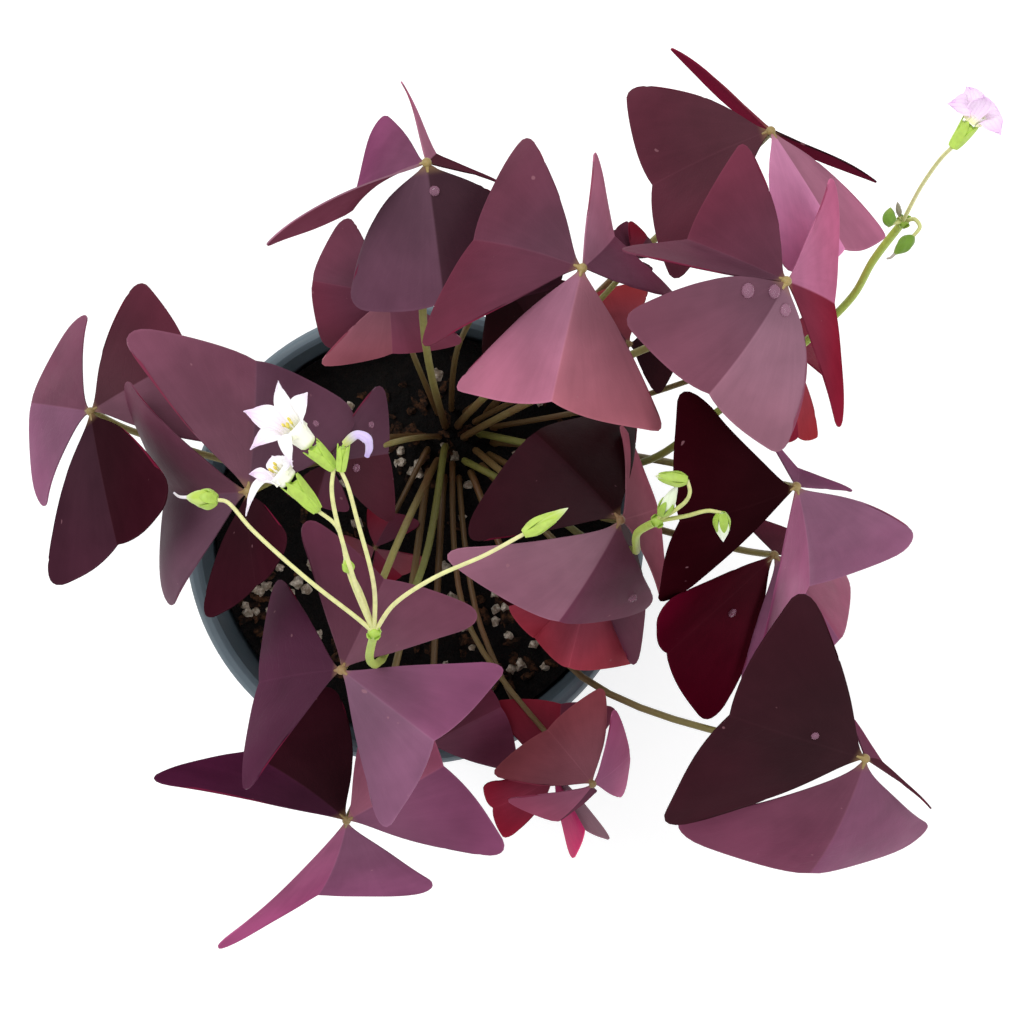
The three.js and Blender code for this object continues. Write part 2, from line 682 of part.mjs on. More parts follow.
// The flowers in bloom: the foot and the mouth of the tube with its radii there, and each petal's tip and
// full width. The petal nearest to the stalks curls back over the tube.
const COROLLAS = [
  {
    name: "corolla_front_upper", foot: [-10.8, 17.3, 229.7], mouth: [-14, 20.5, 231], narrow: 1.5, wide: 2.4,
    petals: [
      { tip: [-21, 16.5, 233], width: 3.2 },
      { tip: [-13.5, 13.5, 234], width: 2.4 },
      { tip: [-11, 26.5, 233], width: 3.4 },
      { tip: [-17, 29, 226], width: 3.2 },
      { tip: [-23, 23.5, 227], width: 4.8 },
    ],
  },
  {
    name: "corolla_front_lower", foot: [-15.3, 11.3, 222], mouth: [-17.5, 13, 222.5], narrow: 1.8, wide: 2.3,
    petals: [
      { tip: [-23.5, 5, 221], width: 1.4 },
      { tip: [-14.5, 14.8, 225], width: 2.6 },
      { tip: [-19, 15.8, 219], width: 3.4 },
      { tip: [-22.5, 12.5, 224], width: 2.6 },
      { tip: [-22, 10.5, 219], width: 2 },
    ],
  },
  {
    name: "corolla_far", foot: [102.2, 71.8, 240.2], mouth: [103, 73, 241.2], narrow: 1.4, wide: 1.8,
    petals: [
      { tip: [97.4, 74.2, 243], width: 3.8 },
      { tip: [102, 78.4, 237.5], width: 3.8 },
      { tip: [102.8, 74.9, 246], width: 3.8 },
      { tip: [107.9, 73.4, 237.5], width: 3.8 },
      { tip: [106.4, 69, 243], width: 3.8 },
    ],
  },
];
// A faded flower, rolled up to a soft string.
const SPENT = {
  name: "corolla_front_spent",
  radius: 0.8,
  steps: 6,
  points: [[-4.8, 17.6, 231.3], [-2.5, 19.2, 232], [-0.8, 18.4, 231.8], [-0.5, 17, 231], [-1, 15.5, 230]],
};

// ---------------------------------------------------------------- the whole plant

const plant = new THREE.Group();
const roots = [...LEAVES, ...UMBELS].map(({ root }) => rootOf(root));
for (const leaf of LEAVES) {
  plant.add(leafBlade(leaf), petiole(leaf));
}
for (const spec of UMBELS) {
  plant.add(umbel(spec));
}
for (const flower of COROLLAS) {
  plant.add(corolla(flower));
}
const spentPoints = SPENT.points.map((p) => point(...p));
plant.add(mesh(SPENT.name, stem(spentPoints, SPENT.radius, SPENT.steps), MATERIAL.petal));
plant.add(pot(), soil(roots));

export default plant;
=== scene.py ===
"""Looks of a potted purple shamrock: leaves, stems, flowers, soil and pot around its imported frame.

Lengths in the tables and in the dataclasses are millimetres, and angles are degrees, in the frame's own axes:
+Z up, with the origin at the centre of the pot's underside. Meshes are made in metres.
"""

import functools
import logging
import math
import random
from collections.abc import Callable, Sequence
from dataclasses import dataclass
from enum import Enum

import bpy
from mathutils import Matrix, Quaternion, Vector, noise


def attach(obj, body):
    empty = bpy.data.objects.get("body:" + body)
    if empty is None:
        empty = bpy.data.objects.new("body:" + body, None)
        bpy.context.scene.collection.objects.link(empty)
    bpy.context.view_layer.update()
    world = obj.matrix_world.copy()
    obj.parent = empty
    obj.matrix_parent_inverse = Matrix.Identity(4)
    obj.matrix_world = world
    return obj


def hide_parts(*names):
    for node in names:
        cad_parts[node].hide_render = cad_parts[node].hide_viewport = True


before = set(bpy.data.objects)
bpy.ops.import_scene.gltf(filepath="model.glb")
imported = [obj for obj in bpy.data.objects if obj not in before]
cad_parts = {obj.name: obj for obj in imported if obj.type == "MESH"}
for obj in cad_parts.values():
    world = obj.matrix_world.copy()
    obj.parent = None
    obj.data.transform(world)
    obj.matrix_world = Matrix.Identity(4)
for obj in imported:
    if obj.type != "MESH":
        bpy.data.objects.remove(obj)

MM = 0.001
BODY = "root"
UP = Vector((0.0, 0.0, 1.0))

Surface = Callable[[float, float], Vector]
Shape = Callable[[float, float], float]
Point = tuple[float, float, float]
Colour = tuple[float, float, float, float]
Range = tuple[float, float]
Inputs = dict[int | str, object]
Socket = bpy.types.NodeSocket

log = logging.getLogger("shamrock")


# ---------------------------------------------------------------------------------- colours


def paint(red: int, green: int, blue: int) -> Colour:
    """A colour for a shader, from its red, green and blue on screen.

    Args:
        red: Red, 0 to 255.
        green: Green, 0 to 255.
        blue: Blue, 0 to 255.

    Returns:
        The linear colour with full alpha.
    """
    linear = [((value / 255 + 0.055) / 1.055) ** 2.4 for value in (red, green, blue)]
    return (linear[0], linear[1], linear[2], 1.0)


class Shade(Enum):
    """The colours of the leaflets' upper sides, from dark to light, with painted light and shade in them."""

    # Painted light: the two halves of a leaflet take different colours where one is turned to the light,
    # leaflets in the shade of others take darker ones, some pale ones hold a painted sheen of the sky, and
    # some bright reds hold painted light shining through the leaf.
    INK = paint(38, 7, 13)
    CLARET = paint(49, 19, 27)
    NIGHT = paint(62, 34, 45)
    WINE = paint(72, 14, 28)
    DUSK = paint(72, 30, 53)
    FIG = paint(80, 37, 49)
    PRUNE = paint(97, 45, 63)
    DAMSON = paint(95, 51, 68)
    GARNET = paint(122, 38, 57)
    PLUM = paint(96, 62, 79)
    BRICK = paint(107, 55, 77)
    GRAPE = paint(112, 68, 85)
    HEATHER = paint(144, 55, 66)
    RUST = paint(128, 67, 78)
    PURPLE = paint(120, 67, 96)
    MULBERRY = paint(127, 76, 105)
    MAGENTA = paint(142, 76, 100)
    CERISE = paint(126, 84, 109)
    MAUVE = paint(165, 68, 87)
    ROSE = paint(138, 87, 116)
    DOVE = paint(152, 79, 116)
    ORCHID = paint(144, 99, 117)
    FOXGLOVE = paint(157, 94, 109)
    BLUSH = paint(162, 101, 125)
    PINK = paint(181, 103, 137)
    BLOOM = paint(209, 131, 172)
    FUCHSIA = paint(196, 44, 108)


class Slot(Enum):
    """The record's material slots."""

    PLUM = "leaf_plum"
    DUSKY = "leaf_dusky"
    MAUVE = "leaf_mauve"
    WINE = "leaf_wine"
    PETIOLE = "petiole"
    STALK = "stalk"
    PETAL = "petal"
    POT = "pot"
    SOIL = "soil"


# ---------------------------------------------------------------------------------- hand tools


class Bench:
    """The hand tools that every piece is made with."""

    @staticmethod
    def clear() -> None:
        """Leaves edit mode and deselects everything."""
        if bpy.context.object and bpy.context.object.mode != "OBJECT":
            bpy.ops.object.mode_set(mode="OBJECT")
        bpy.ops.object.select_all(action="DESELECT")

    @staticmethod
    def pick(*pieces: bpy.types.Object) -> None:
        """Selects only these pieces, with the first one active.

        Args:
            pieces: The pieces, at least one.
        """
        Bench.clear()
        for piece in pieces:
            piece.select_set(True)
        bpy.context.view_layer.objects.active = pieces[0]

    @staticmethod
    def modify(piece: bpy.types.Object, kind: str, **settings: object) -> None:
        """Adds a modifier to a piece and applies it.

        Args:
            piece: The mesh to change.
            kind: The modifier's type.
            settings: Its properties.
        """
        Bench.pick(piece)
        bpy.ops.object.modifier_add(type=kind)
        modifier = piece.modifiers[-1]
        for name, value in settings.items():
            setattr(modifier, name, value)
        bpy.ops.object.modifier_apply(modifier=modifier.name)

    @staticmethod
    def edit(piece: bpy.types.Object, tool: Callable[..., object], **settings: object) -> None:
        """Uses one tool of edit mode on the whole of a piece.

        Args:
            piece: The mesh to change.
            tool: The operator.
            settings: Its properties.
        """
        Bench.pick(piece)
        bpy.ops.object.mode_set(mode="EDIT")
        bpy.ops.mesh.select_all(action="SELECT")
        tool(**settings)
        bpy.ops.object.mode_set(mode="OBJECT")

    @staticmethod
    def merge(piece: bpy.types.Object, distance: float = 1e-6) -> None:
        """Merges the vertices of a piece that lie together."""
        Bench.edit(piece, bpy.ops.mesh.remove_doubles, threshold=distance)

    @staticmethod
    def face_outwards(piece: bpy.types.Object) -> None:
        """Turns the faces of a closed piece outwards."""
        Bench.edit(piece, bpy.ops.mesh.normals_make_consistent, inside=False)

    @staticmethod
    def join(pieces: Sequence[bpy.types.Object], name: str) -> bpy.types.Object:
        """Joins meshes into one piece with its place in its mesh.

        Args:
            pieces: The meshes, at least one.
            name: The name of the result.

        Returns:
            The joined mesh.
        """
        Bench.pick(*pieces)
        if len(pieces) > 1:
            bpy.ops.object.join()
        whole = bpy.context.object
        bpy.ops.object.transform_apply(location=True, rotation=True, scale=True)
        whole.name = name
        whole.data.name = name
        return whole

    @staticmethod
    def smooth(piece: bpy.types.Object, angle: float = 40.0) -> None:
        """Shades a piece smooth where its faces meet at less than the angle."""
        Bench.pick(piece)
        bpy.ops.object.shade_smooth_by_angle(angle=math.radians(angle))

    @staticmethod
    def dress(piece: bpy.types.Object, *materials: bpy.types.Material) -> None:
        """Gives a piece its materials.

        Args:
            piece: The mesh.
            materials: One for each of its slots, in their order.
        """
        piece.data.materials.clear()
        for material in materials:
            piece.data.materials.append(material)

    @staticmethod
    def settle(piece: bpy.types.Object, slot: Slot, *nodes: str) -> bpy.types.Object:
        """Puts a finished piece on the frame.

        Args:
            piece: The finished mesh.
            slot: The record's slot that its finish stands for; not used.
            nodes: The frame's nodes that it replaces.

        Returns:
            The same piece.
        """
        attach(piece, BODY)
        if nodes:
            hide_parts(*nodes)
        log.info("%s: %d faces", piece.name, len(piece.data.polygons))
        return piece


def sheet(surface: Surface, columns: int, rows: int, flat: Surface | None = None) -> bpy.types.Object:
    """A grid pressed onto a surface, with its upper side along the surface's normal.

    Args:
        surface: Gives the place in millimetres at u, -1 to 1 across, and v, 0 to 1 along.
        columns: Faces across.
        rows: Faces along.
        flat: Gives the place of the same point on the flat pattern that the finish reads.

    Returns:
        The open sheet, its ends merged where they close up to a point.
    """
    Bench.clear()
    bpy.ops.mesh.primitive_grid_add(x_subdivisions=columns, y_subdivisions=rows, size=2)
    made = bpy.context.object
    spots = [(vertex.co.x, (vertex.co.y + 1) / 2) for vertex in made.data.vertices]
    pattern = made.data.uv_layers.active
    margin = made.data.uv_layers.new(name="margin")
    made.data.uv_layers.active = pattern
    for loop in made.data.loops:
        u, v = spots[loop.vertex_index]
        pattern.data[loop.index].uv = flat(u, v).to_2d() if flat else (u, v)
        margin.data[loop.index].uv = (u, v)
    for vertex, (u, v) in zip(made.data.vertices, spots):
        vertex.co = surface(u, v) * MM
    Bench.merge(made)
    return made


def thicken(piece: bpy.types.Object, thickness: float, under: int = 0) -> None:
    """Gives a sheet its thickness, half to each side.

    Args:
        piece: The open sheet.
        thickness: In millimetres.
        under: How many slots the material of the lower side is after that of the upper side.
    """
    Bench.modify(piece, "SOLIDIFY", thickness=thickness * MM, offset=0.0, material_offset=under)


def catmull(points: Sequence[Vector], count: int) -> list[Vector]:
    """Points along a smooth centripetal curve through the given ones.

    Args:
        points: What the curve passes, at least two.
        count: How many points to give back.

    Returns:
        The points, from the first to the last given one.
    """
    before = points[0] * 2 - points[1]
    after = points[-1] * 2 - points[-2]
    knots = [before, *points, after]
    spans = len(points) - 1
    route = []
    for step in range(count):
        place = spans * step / (count - 1)
        k = min(int(place), spans - 1)
        t = place - k
        p0, p1, p2, p3 = knots[k : k + 4]
        d0, d1, d2 = (max((b - a).length, 1e-4) ** 0.5 for a, b in ((p0, p1), (p1, p2), (p2, p3)))
        m1 = ((p1 - p0) / d0 - (p2 - p0) / (d0 + d1) + (p2 - p1) / d1) * d1
        m2 = ((p2 - p1) / d1 - (p3 - p1) / (d1 + d2) + (p3 - p2) / d2) * d1
        curve = p1 + m1 * t + (p2 * 3 - p1 * 3 - m1 * 2 - m2) * t**2
        route.append(curve + (p1 * 2 - p2 * 2 + m1 + m2) * t**3)
    return route


def tube(points: Sequence[Vector], radius: Callable[[float], float], sides: int = 12) -> bpy.types.Object:
    """A closed round stem along a line of points.

    Args:
        points: The middle line, in millimetres.
        radius: Gives the radius in millimetres at the share of the way along.
        sides: Faces around.

    Returns:
        The mesh.
    """
    Bench.clear()
    bpy.ops.curve.primitive_bezier_curve_add()
    made = bpy.context.object
    line = made.data
    line.splines.clear()
    spline = line.splines.new("POLY")
    spline.points.add(len(points) - 1)
    for k, point in enumerate(points):
        spline.points[k].co = (*(point * MM), 1.0)
        spline.points[k].radius = radius(k / (len(points) - 1)) * MM
    line.dimensions = "3D"
    line.bevel_depth = 1.0
    line.bevel_resolution = sides // 4
    line.use_fill_caps = True
    bpy.ops.object.convert(target="MESH")
    made = bpy.context.object
    Bench.merge(made)
    Bench.face_outwards(made)
    return made


def ball(radius: float) -> Shape:
    """The shape of a round pod, from its radius in millimetres."""
    return lambda share, angle: 2 * radius * math.sqrt(max(0.0, share * (1 - share)))


def pod(middle: Vector, axis: Vector, shape: Shape, length: float) -> bpy.types.Object:
    """A closed body around an axis, such as a bud.

    Args:
        middle: Its middle, in millimetres.
        axis: The way it points.
        shape: Gives the radius in millimetres at the share of the length and the angle round the axis.
        length: In millimetres.

    Returns:
        The mesh.
    """
    Bench.clear()
    bpy.ops.mesh.primitive_uv_sphere_add(segments=30, ring_count=20, radius=1)
    made = bpy.context.object
    turn = UP.rotation_difference(axis)
    for vertex in made.data.vertices:
        share = (vertex.co.z + 1) / 2
        angle = math.atan2(vertex.co.y, vertex.co.x)
        out = shape(share, angle)
        spot = Vector((out * math.cos(angle), out * math.sin(angle), (share - 0.5) * length))
        vertex.co = (middle + turn @ spot) * MM
    return made


# ---------------------------------------------------------------------------------- finishes


class Brew:
    """One node material, which reads the piece's own place or its own flat pattern."""

    def __init__(self, name: str) -> None:
        """Starts the material with Blender's usual shader.

        Args:
            name: The material's name.
        """
        self.material = bpy.data.materials.new(name)
        self.material.use_nodes = True
        self.tree = self.material.node_tree
        self.shader = next(node for node in self.tree.nodes if node.type == "BSDF_PRINCIPLED")

    def add(self, kind: str, inputs: Inputs | None = None, **settings: object) -> bpy.types.Node:
        """Adds a node.

        Args:
            kind: The node's type, without its ShaderNode prefix.
            inputs: What goes into its sockets, by name or place: a number, a colour or another socket.
            settings: Its properties.

        Returns:
            The node.
        """
        node = self.tree.nodes.new("ShaderNode" + kind)
        for name, value in settings.items():
            setattr(node, name, value)
        for socket, value in (inputs or {}).items():
            self.feed(node.inputs[socket], value)
        return node

    def feed(self, socket: Socket, value: object) -> None:
        """Links a socket to another one, or sets its value.

        Args:
            socket: The socket that takes it in.
            value: A number, a colour or another socket.
        """
        if isinstance(value, Socket):
            self.tree.links.new(value, socket)
        else:
            socket.default_value = value

    def place(self) -> Socket:
        """The place on the piece, in metres."""
        return self.add("TexCoord").outputs["Object"]

    def flat(self) -> tuple[Socket, Socket]:
        """The place on the piece's flat pattern, across and along."""
        split = self.add("SeparateXYZ", {0: self.add("TexCoord").outputs["UV"]})
        return split.outputs[0], split.outputs[1]

    def noise(self, scale: float, detail: float = 3.0, roughness: float = 0.5) -> Socket:
        """Soft noise over the piece's own place, 0 to 1."""
        inputs = {"Vector": self.place(), "Scale": scale, "Detail": detail, "Roughness": roughness}
        return self.add("TexNoise", inputs).outputs[0]

    def grains(self, scale: float) -> Socket:
        """Distance to the nearest grain, over the piece's own place."""
        return self.add("TexVoronoi", {"Vector": self.place(), "Scale": scale}).outputs["Distance"]

    def sum(self, kind: str, first: object, second: object = 0.0) -> Socket:
        """The result of a sum, such as ADD or MULTIPLY."""
        return self.add("Math", {0: first, 1: second}, operation=kind).outputs[0]

    def spread(self, value: object, low: float, high: float, start: float = 0.0, end: float = 1.0) -> Socket:
        """A value eased from its range, low to high, to another one."""
        inputs = {"Value": value, "From Min": low, "From Max": high, "To Min": start, "To Max": end}
        return self.add("MapRange", inputs, interpolation_type="SMOOTHSTEP").outputs["Result"]

    def mix(self, share: object, first: object, second: object, blend: str = "MIX") -> Socket:
        """A colour between two others.

        Args:
            share: How much of the second goes in, 0 to 1.
            first: The first colour.
            second: The second colour.
            blend: How they are blended.

        Returns:
            The colour.
        """
        node = self.add("Mix", data_type="RGBA", blend_type=blend)
        self.feed(node.inputs[0], share)
        self.feed(node.inputs[6], first)
        self.feed(node.inputs[7], second)
        return node.outputs[2]

    def bump(self, height: object, depth: float, strength: float = 1.0) -> None:
        """Relief on the surface, depth in metres."""
        inputs = {"Height": height, "Distance": depth, "Strength": strength}
        self.feed(self.shader.inputs["Normal"], self.add("Bump", inputs).outputs[0])

    def set(self, **values: object) -> None:
        """Sets or links sockets of the shader.

        Args:
            values: What goes into each, by the socket's name with _ for a space.
        """
        for name, value in values.items():
            socket = next(s for s in self.shader.inputs if s.name.lower() == name.replace("_", " ").lower())
            self.feed(socket, value)


@dataclass(frozen=True)
class LeafFinish:
    """A leaflet's skin: a colour to each half, with painted light and shade in it, streaks that fan out from
    the hub, faint veins, a painted highlight along the margin, a soft shine.

    It reads the leaflet's flat pattern, across and along, where 1 is the length along the midrib, and the
    distance to the margin. A range goes from the hub to the margin, or from the least of a noise to its most.
    """

    left: Shade
    right: Shade
    under: bool = False
    matt: bool = False
    warm: bool = False
    seam: float = 0.012
    rib: float = 0.014
    veins: float = 9.0
    vein_slope: float = 0.75
    fan: float = 16.0
    relief: float = 0.0002
    hue: Range = (0.493, 0.507)
    richness: Range = (0.92, 1.05)
    glow: Range = (0.88, 1.1)
    cloud: Range = (0.86, 1.12)
    streak: Range = (0.96, 1.04)
    shine: Range = (0.42, 0.56)
    wine: Colour = paint(124, 30, 58)
    speck: Colour = paint(170, 120, 130)
    straw: Colour = paint(150, 120, 84)

    def lines(self, brew: Brew, across: Socket, along: Socket) -> Socket:
        """The side veins.

        Args:
            brew: The material.
            across: The place across the leaflet.
            along: The place along it.

        Returns:
            1 on a vein and 0 away from it.
        """
        side = brew.sum("ABSOLUTE", across)
        wobble = brew.sum("MULTIPLY", brew.noise(140.0, 2.0), 0.3)
        lean = brew.sum("SUBTRACT", along, brew.sum("MULTIPLY", side, self.vein_slope))
        phase = brew.sum("MULTIPLY", brew.sum("ADD", lean, wobble), self.veins)
        thin = brew.spread(brew.sum("PINGPONG", phase, 0.5), 0.0, 0.09, 1.0, 0.0)
        return brew.sum("MULTIPLY", thin, brew.spread(side, 0.05, 0.75, 1.0, 0.1))

    def streaks(self, brew: Brew, across: Socket, along: Socket) -> Socket:
        """Fine streaks that fan out from the hub.

        Args:
            brew: The material.
            across: The place across the leaflet.
            along: The place along it.

        Returns:
            Their brightness.
        """
        turn = brew.sum("ARCTAN2", across, brew.sum("ADD", along, 0.05))
        turn = brew.sum("MULTIPLY", turn, self.fan)
        out = brew.sum("MULTIPLY", along, 1.6)
        way = brew.add("CombineXYZ", {0: turn, 1: out, 2: brew.noise(12.0)}).outputs[0]
        fine = brew.add("TexNoise", {"Vector": way, "Scale": 1.0, "Detail": 3.0, "Roughness": 0.6}).outputs[0]
        return brew.spread(fine, 0.25, 0.75, *self.streak)

    def tone(self, brew: Brew, across: Socket, along: Socket) -> Socket:
        """The leaflet's colour with the painted light and shade of its halves, without its veins.

        Args:
            brew: The material.
            across: The place across the leaflet.
            along: The place along it.

        Returns:
            The colour.
        """
        out = brew.sum("ADD", along, brew.sum("MULTIPLY", brew.sum("ABSOLUTE", across), 0.4))
        out = brew.sum("ADD", out, brew.sum("MULTIPLY", brew.noise(40.0, 2.0), 0.6))
        inputs = {
            "Hue": brew.spread(out, 0.4, 1.6, *self.hue) if self.warm else 0.5,
            "Saturation": brew.spread(out, 0.4, 1.6, *self.richness),
            # The halves' colours hold painted light: the half turned to the light gets the lighter one.
            "Color": brew.mix(brew.spread(across, -self.seam, self.seam), self.left.value, self.right.value),
        }
        colour = brew.add("HueSaturation", inputs).outputs[0]
        cloud = brew.spread(brew.noise(60.0, 3.0, 0.55), 0.3, 0.7, *self.cloud)
        shade = brew.sum("MULTIPLY", cloud, self.streaks(brew, across, along))
        shade = brew.sum("MULTIPLY", brew.spread(out, 0.5, 1.6, *self.glow), shade)
        grey = brew.add("CombineColor", {0: shade, 1: shade, 2: shade}).outputs[0]
        return brew.mix(1.0, colour, grey, "MULTIPLY")

    def make(self) -> bpy.types.Material:
        """Builds the material."""
        side = ("under" if self.under else "steep" if self.matt else "upper") + (" warm" if self.warm else "")
        brew = Brew(f"leaf {self.left.name} {self.right.name} {side}".lower())
        across, along = brew.flat()
        colour = self.tone(brew, across, along)
        lines = self.lines(brew, across, along)
        rib = brew.spread(brew.sum("ABSOLUTE", across), 0.0, self.rib, 1.0, 0.0)
        margin = brew.add("SeparateXYZ", {0: brew.add("UVMap", uv_map="margin").outputs[0]}).outputs[1]
        if self.under:
            colour = brew.mix(0.55, colour, self.wine)
        bright = brew.add("HueSaturation", {"Value": 1.5, "Saturation": 0.95, "Color": colour}).outputs[0]
        for share, other in (
            (brew.sum("MULTIPLY", lines, 0.035), bright),
            (brew.sum("MULTIPLY", rib, 0.3), bright),
            # A thin paler line along the margin: a painted highlight, light catching the leaflet's edge.
            (brew.spread(margin, 0.98, 0.998, 0.0, 0.25), bright),
            (brew.spread(brew.noise(420.0, 1.0), 0.78, 0.82, 0.0, 0.35), self.speck),
            (brew.spread(along, 0.02, 0.1, 0.5, 0.0), self.straw),
        ):
            colour = brew.mix(share, colour, other)
        height = brew.sum("MULTIPLY", brew.sum("ADD", lines, rib), 0.6 if self.under else -0.14)
        height = brew.sum("ADD", height, brew.sum("MULTIPLY", brew.noise(240.0, 3.0), 0.6))
        height = brew.sum("ADD", height, brew.sum("MULTIPLY", brew.grains(1900.0), 0.12))
        brew.bump(height, self.relief, 0.7)
        brew.set(Base_Color=colour, Roughness=brew.spread(brew.noise(90.0), 0.2, 0.8, *self.shine))
        brew.set(Specular_IOR_Level=0.0 if self.matt or self.under else 0.06)
        return brew.material


@dataclass(frozen=True)
class StemFinish:
    """A stem's skin: two colours that change along its height, fine lengthwise mottling, a soft shine."""

    name: str
    low: Colour
    high: Colour
    blush: Colour
    blush_share: float
    bottom: float
    top: float
    grain: Colour = paint(70, 60, 34)
    glow: Point = (0.002, 0.0016, 0.0006)

    def make(self) -> bpy.types.Material:
        """Builds the material."""
        brew = Brew(self.name)
        height = brew.add("SeparateXYZ", {0: brew.place()}).outputs[2]
        colour = brew.mix(brew.spread(height, self.bottom * MM, self.top * MM), self.low, self.high)
        patches = brew.spread(brew.noise(55.0, 3.0, 0.6), 0.48, 0.7, 0.0, self.blush_share)
        colour = brew.mix(patches, colour, self.blush)
        grain = brew.noise(900.0, 2.0)
        colour = brew.mix(brew.spread(grain, 0.3, 0.8, 0.0, 0.18), colour, self.grain)
        brew.bump(grain, 0.0001, 0.6)
        brew.set(Base_Color=colour, Roughness=0.5, Specular_IOR_Level=0.45)
        brew.set(Subsurface_Weight=0.12, Subsurface_Radius=self.glow)
        return brew.material


@dataclass(frozen=True)
class PetalFinish:
    """A petal: green-yellow at its foot, white, lilac to the tip, with faint lengthwise veins."""

    name: str
    foot: Colour
    body: Colour
    tip: Colour
    glow: Point = (0.002, 0.002, 0.002)

    def make(self) -> bpy.types.Material:
        """Builds the material."""
        brew = Brew(self.name)
        across, along = brew.flat()
        colour = brew.mix(brew.spread(along, 0.02, 0.28), self.foot, self.body)
        cloud = brew.sum("MULTIPLY", brew.noise(220.0, 2.0), 0.3)
        colour = brew.mix(brew.spread(brew.sum("ADD", along, cloud), 0.75, 1.2, 0.0, 0.85), colour, self.tip)
        ridge = brew.sum("PINGPONG", brew.sum("MULTIPLY", across, 2.5), 0.5)
        line = brew.spread(ridge, 0.0, 0.2, 1.0, 0.0)
        colour = brew.mix(brew.sum("MULTIPLY", line, 0.12), colour, self.tip)
        brew.bump(line, 0.00012, 0.5)
        brew.set(Base_Color=colour, Roughness=0.55, Specular_IOR_Level=0.3, Sheen_Weight=0.2)
        brew.set(Subsurface_Weight=0.25, Subsurface_Radius=self.glow)
        return brew.material


@dataclass(frozen=True)
class PotFinish:
    """Slate grey moulded plastic with faint turning lines, dust in patches and a soft shine."""

    colour: Colour = paint(88, 104, 114)
    dust: Colour = paint(118, 130, 137)
    turning: float = 7000.0

    def make(self) -> bpy.types.Material:
        """Builds the material."""
        brew = Brew("pot slate plastic")
        patches = brew.spread(brew.noise(28.0, 5.0, 0.65), 0.45, 0.8, 0.0, 0.4)
        specks = brew.spread(brew.noise(1400.0, 1.0), 0.66, 0.8, 0.0, 0.35)
        colour = brew.mix(brew.sum("MAXIMUM", patches, specks), self.colour, self.dust)
        height = brew.add("SeparateXYZ", {0: brew.place()}).outputs[2]
        rings = brew.sum("SINE", brew.sum("MULTIPLY", height, self.turning))
        grain = brew.sum("MULTIPLY", brew.noise(2600.0, 2.0), 2.0)
        brew.bump(brew.sum("ADD", rings, grain), 0.00003, 0.5)
        brew.set(Base_Color=colour, Specular_IOR_Level=0.5)
        brew.set(Roughness=brew.spread(brew.noise(40.0, 4.0), 0.3, 0.7, 0.36, 0.56))
        return brew.material


@dataclass(frozen=True)
class EarthFinish:
    """Loose stuff of the soil: a dark and a light colour in grains, and coarse relief."""

    name: str
    dark: Colour
    light: Colour
    scale: float
    lightness: float
    depth: float
    roughness: float = 0.95

    def make(self) -> bpy.types.Material:
        """Builds the material."""
        brew = Brew(self.name)
        clumps = brew.noise(self.scale, 6.0, 0.7)
        colour = brew.mix(brew.spread(clumps, 0.4, 0.72, 0.0, self.lightness), self.dark, self.light)
        height = brew.sum("ADD", clumps, brew.sum("MULTIPLY", brew.grains(self.scale * 3), 0.4))
        brew.bump(height, self.depth, 1.0)
        brew.set(Base_Color=colour, Roughness=self.roughness, Specular_IOR_Level=0.25)
        return brew.material


@dataclass(frozen=True)
class WaterFinish:
    """Water, partly see-through, with painted light: a pale pink painted highlight in the middle that darkens
    to painted dark pink shade at its rim.
    """

    middle: Colour = paint(190, 138, 164)
    rim: Colour = paint(112, 34, 70)

    def make(self) -> bpy.types.Material:
        """Builds the material."""
        brew = Brew("water")
        facing = brew.add("LayerWeight", {"Blend": 0.35}).outputs["Facing"]
        # Painted light: pale where the drop faces the view, dark pink at its rim.
        colour = brew.mix(brew.spread(facing, 0.2, 0.8), self.middle, self.rim)
        brew.set(Base_Color=colour, Roughness=0.04, IOR=1.33, Specular_IOR_Level=0.6, Alpha=0.36)
        return brew.material


@dataclass(frozen=True)
class FloorFinish:
    """Plain white studio floor."""

    def make(self) -> bpy.types.Material:
        """Builds the material."""
        brew = Brew("studio floor")
        brew.set(Base_Color=(0.92, 0.92, 0.92, 1.0), Roughness=0.9, Specular_IOR_Level=0.1)
        brew.set(Emission_Color=(1.0, 1.0, 1.0, 1.0), Emission_Strength=0.3)
        return brew.material


@functools.lru_cache(maxsize=None)
def finish(kind: object) -> bpy.types.Material:
    """The material of a finish, made once."""
    return kind.make()


# The petiole's low colour, darker towards the soil, is painted shade of the leaves over the stems.
PETIOLE = StemFinish("petiole", paint(94, 70, 38), paint(152, 148, 82), paint(118, 74, 46), 0.55, 94, 156)
STALK = StemFinish(
    "flower stalk", paint(108, 108, 50), paint(172, 194, 82), paint(158, 146, 76), 0.25, 110, 185
)
PEDICEL = StemFinish(
    "pedicel", paint(164, 176, 80), paint(226, 226, 158), paint(218, 200, 166), 0.3, 188, 212
)
CALYX = StemFinish("calyx", paint(150, 182, 66), paint(184, 216, 92), paint(206, 220, 118), 0.4, 190, 235)
HUB = StemFinish("leaf hub", paint(120, 96, 60), paint(164, 142, 86), paint(142, 96, 76), 0.5, 100, 200)
DRY = StemFinish("dry style", paint(170, 160, 150), paint(226, 218, 224), paint(150, 140, 130), 0.3, 200, 212)
ANTHER = StemFinish("anther", paint(236, 216, 90), paint(244, 226, 110), paint(220, 190, 70), 0.3, 210, 240)
TUBE = PetalFinish("flower tube", paint(196, 214, 110), paint(250, 250, 232), paint(254, 252, 254))
# The soil's near-black is partly its own dark colour and partly painted shade of the leaves over it.
EARTH = EarthFinish("soil", paint(5, 3, 3), paint(26, 18, 13), 420.0, 0.55, 0.0012)
PERLITE = EarthFinish("perlite", paint(136, 122, 104), paint(246, 238, 222), 600.0, 0.95, 0.0003)
BARK = EarthFinish("bark", paint(20, 12, 8), paint(112, 74, 48), 500.0, 0.7, 0.0005)


# ---------------------------------------------------------------------------------- pot and soil


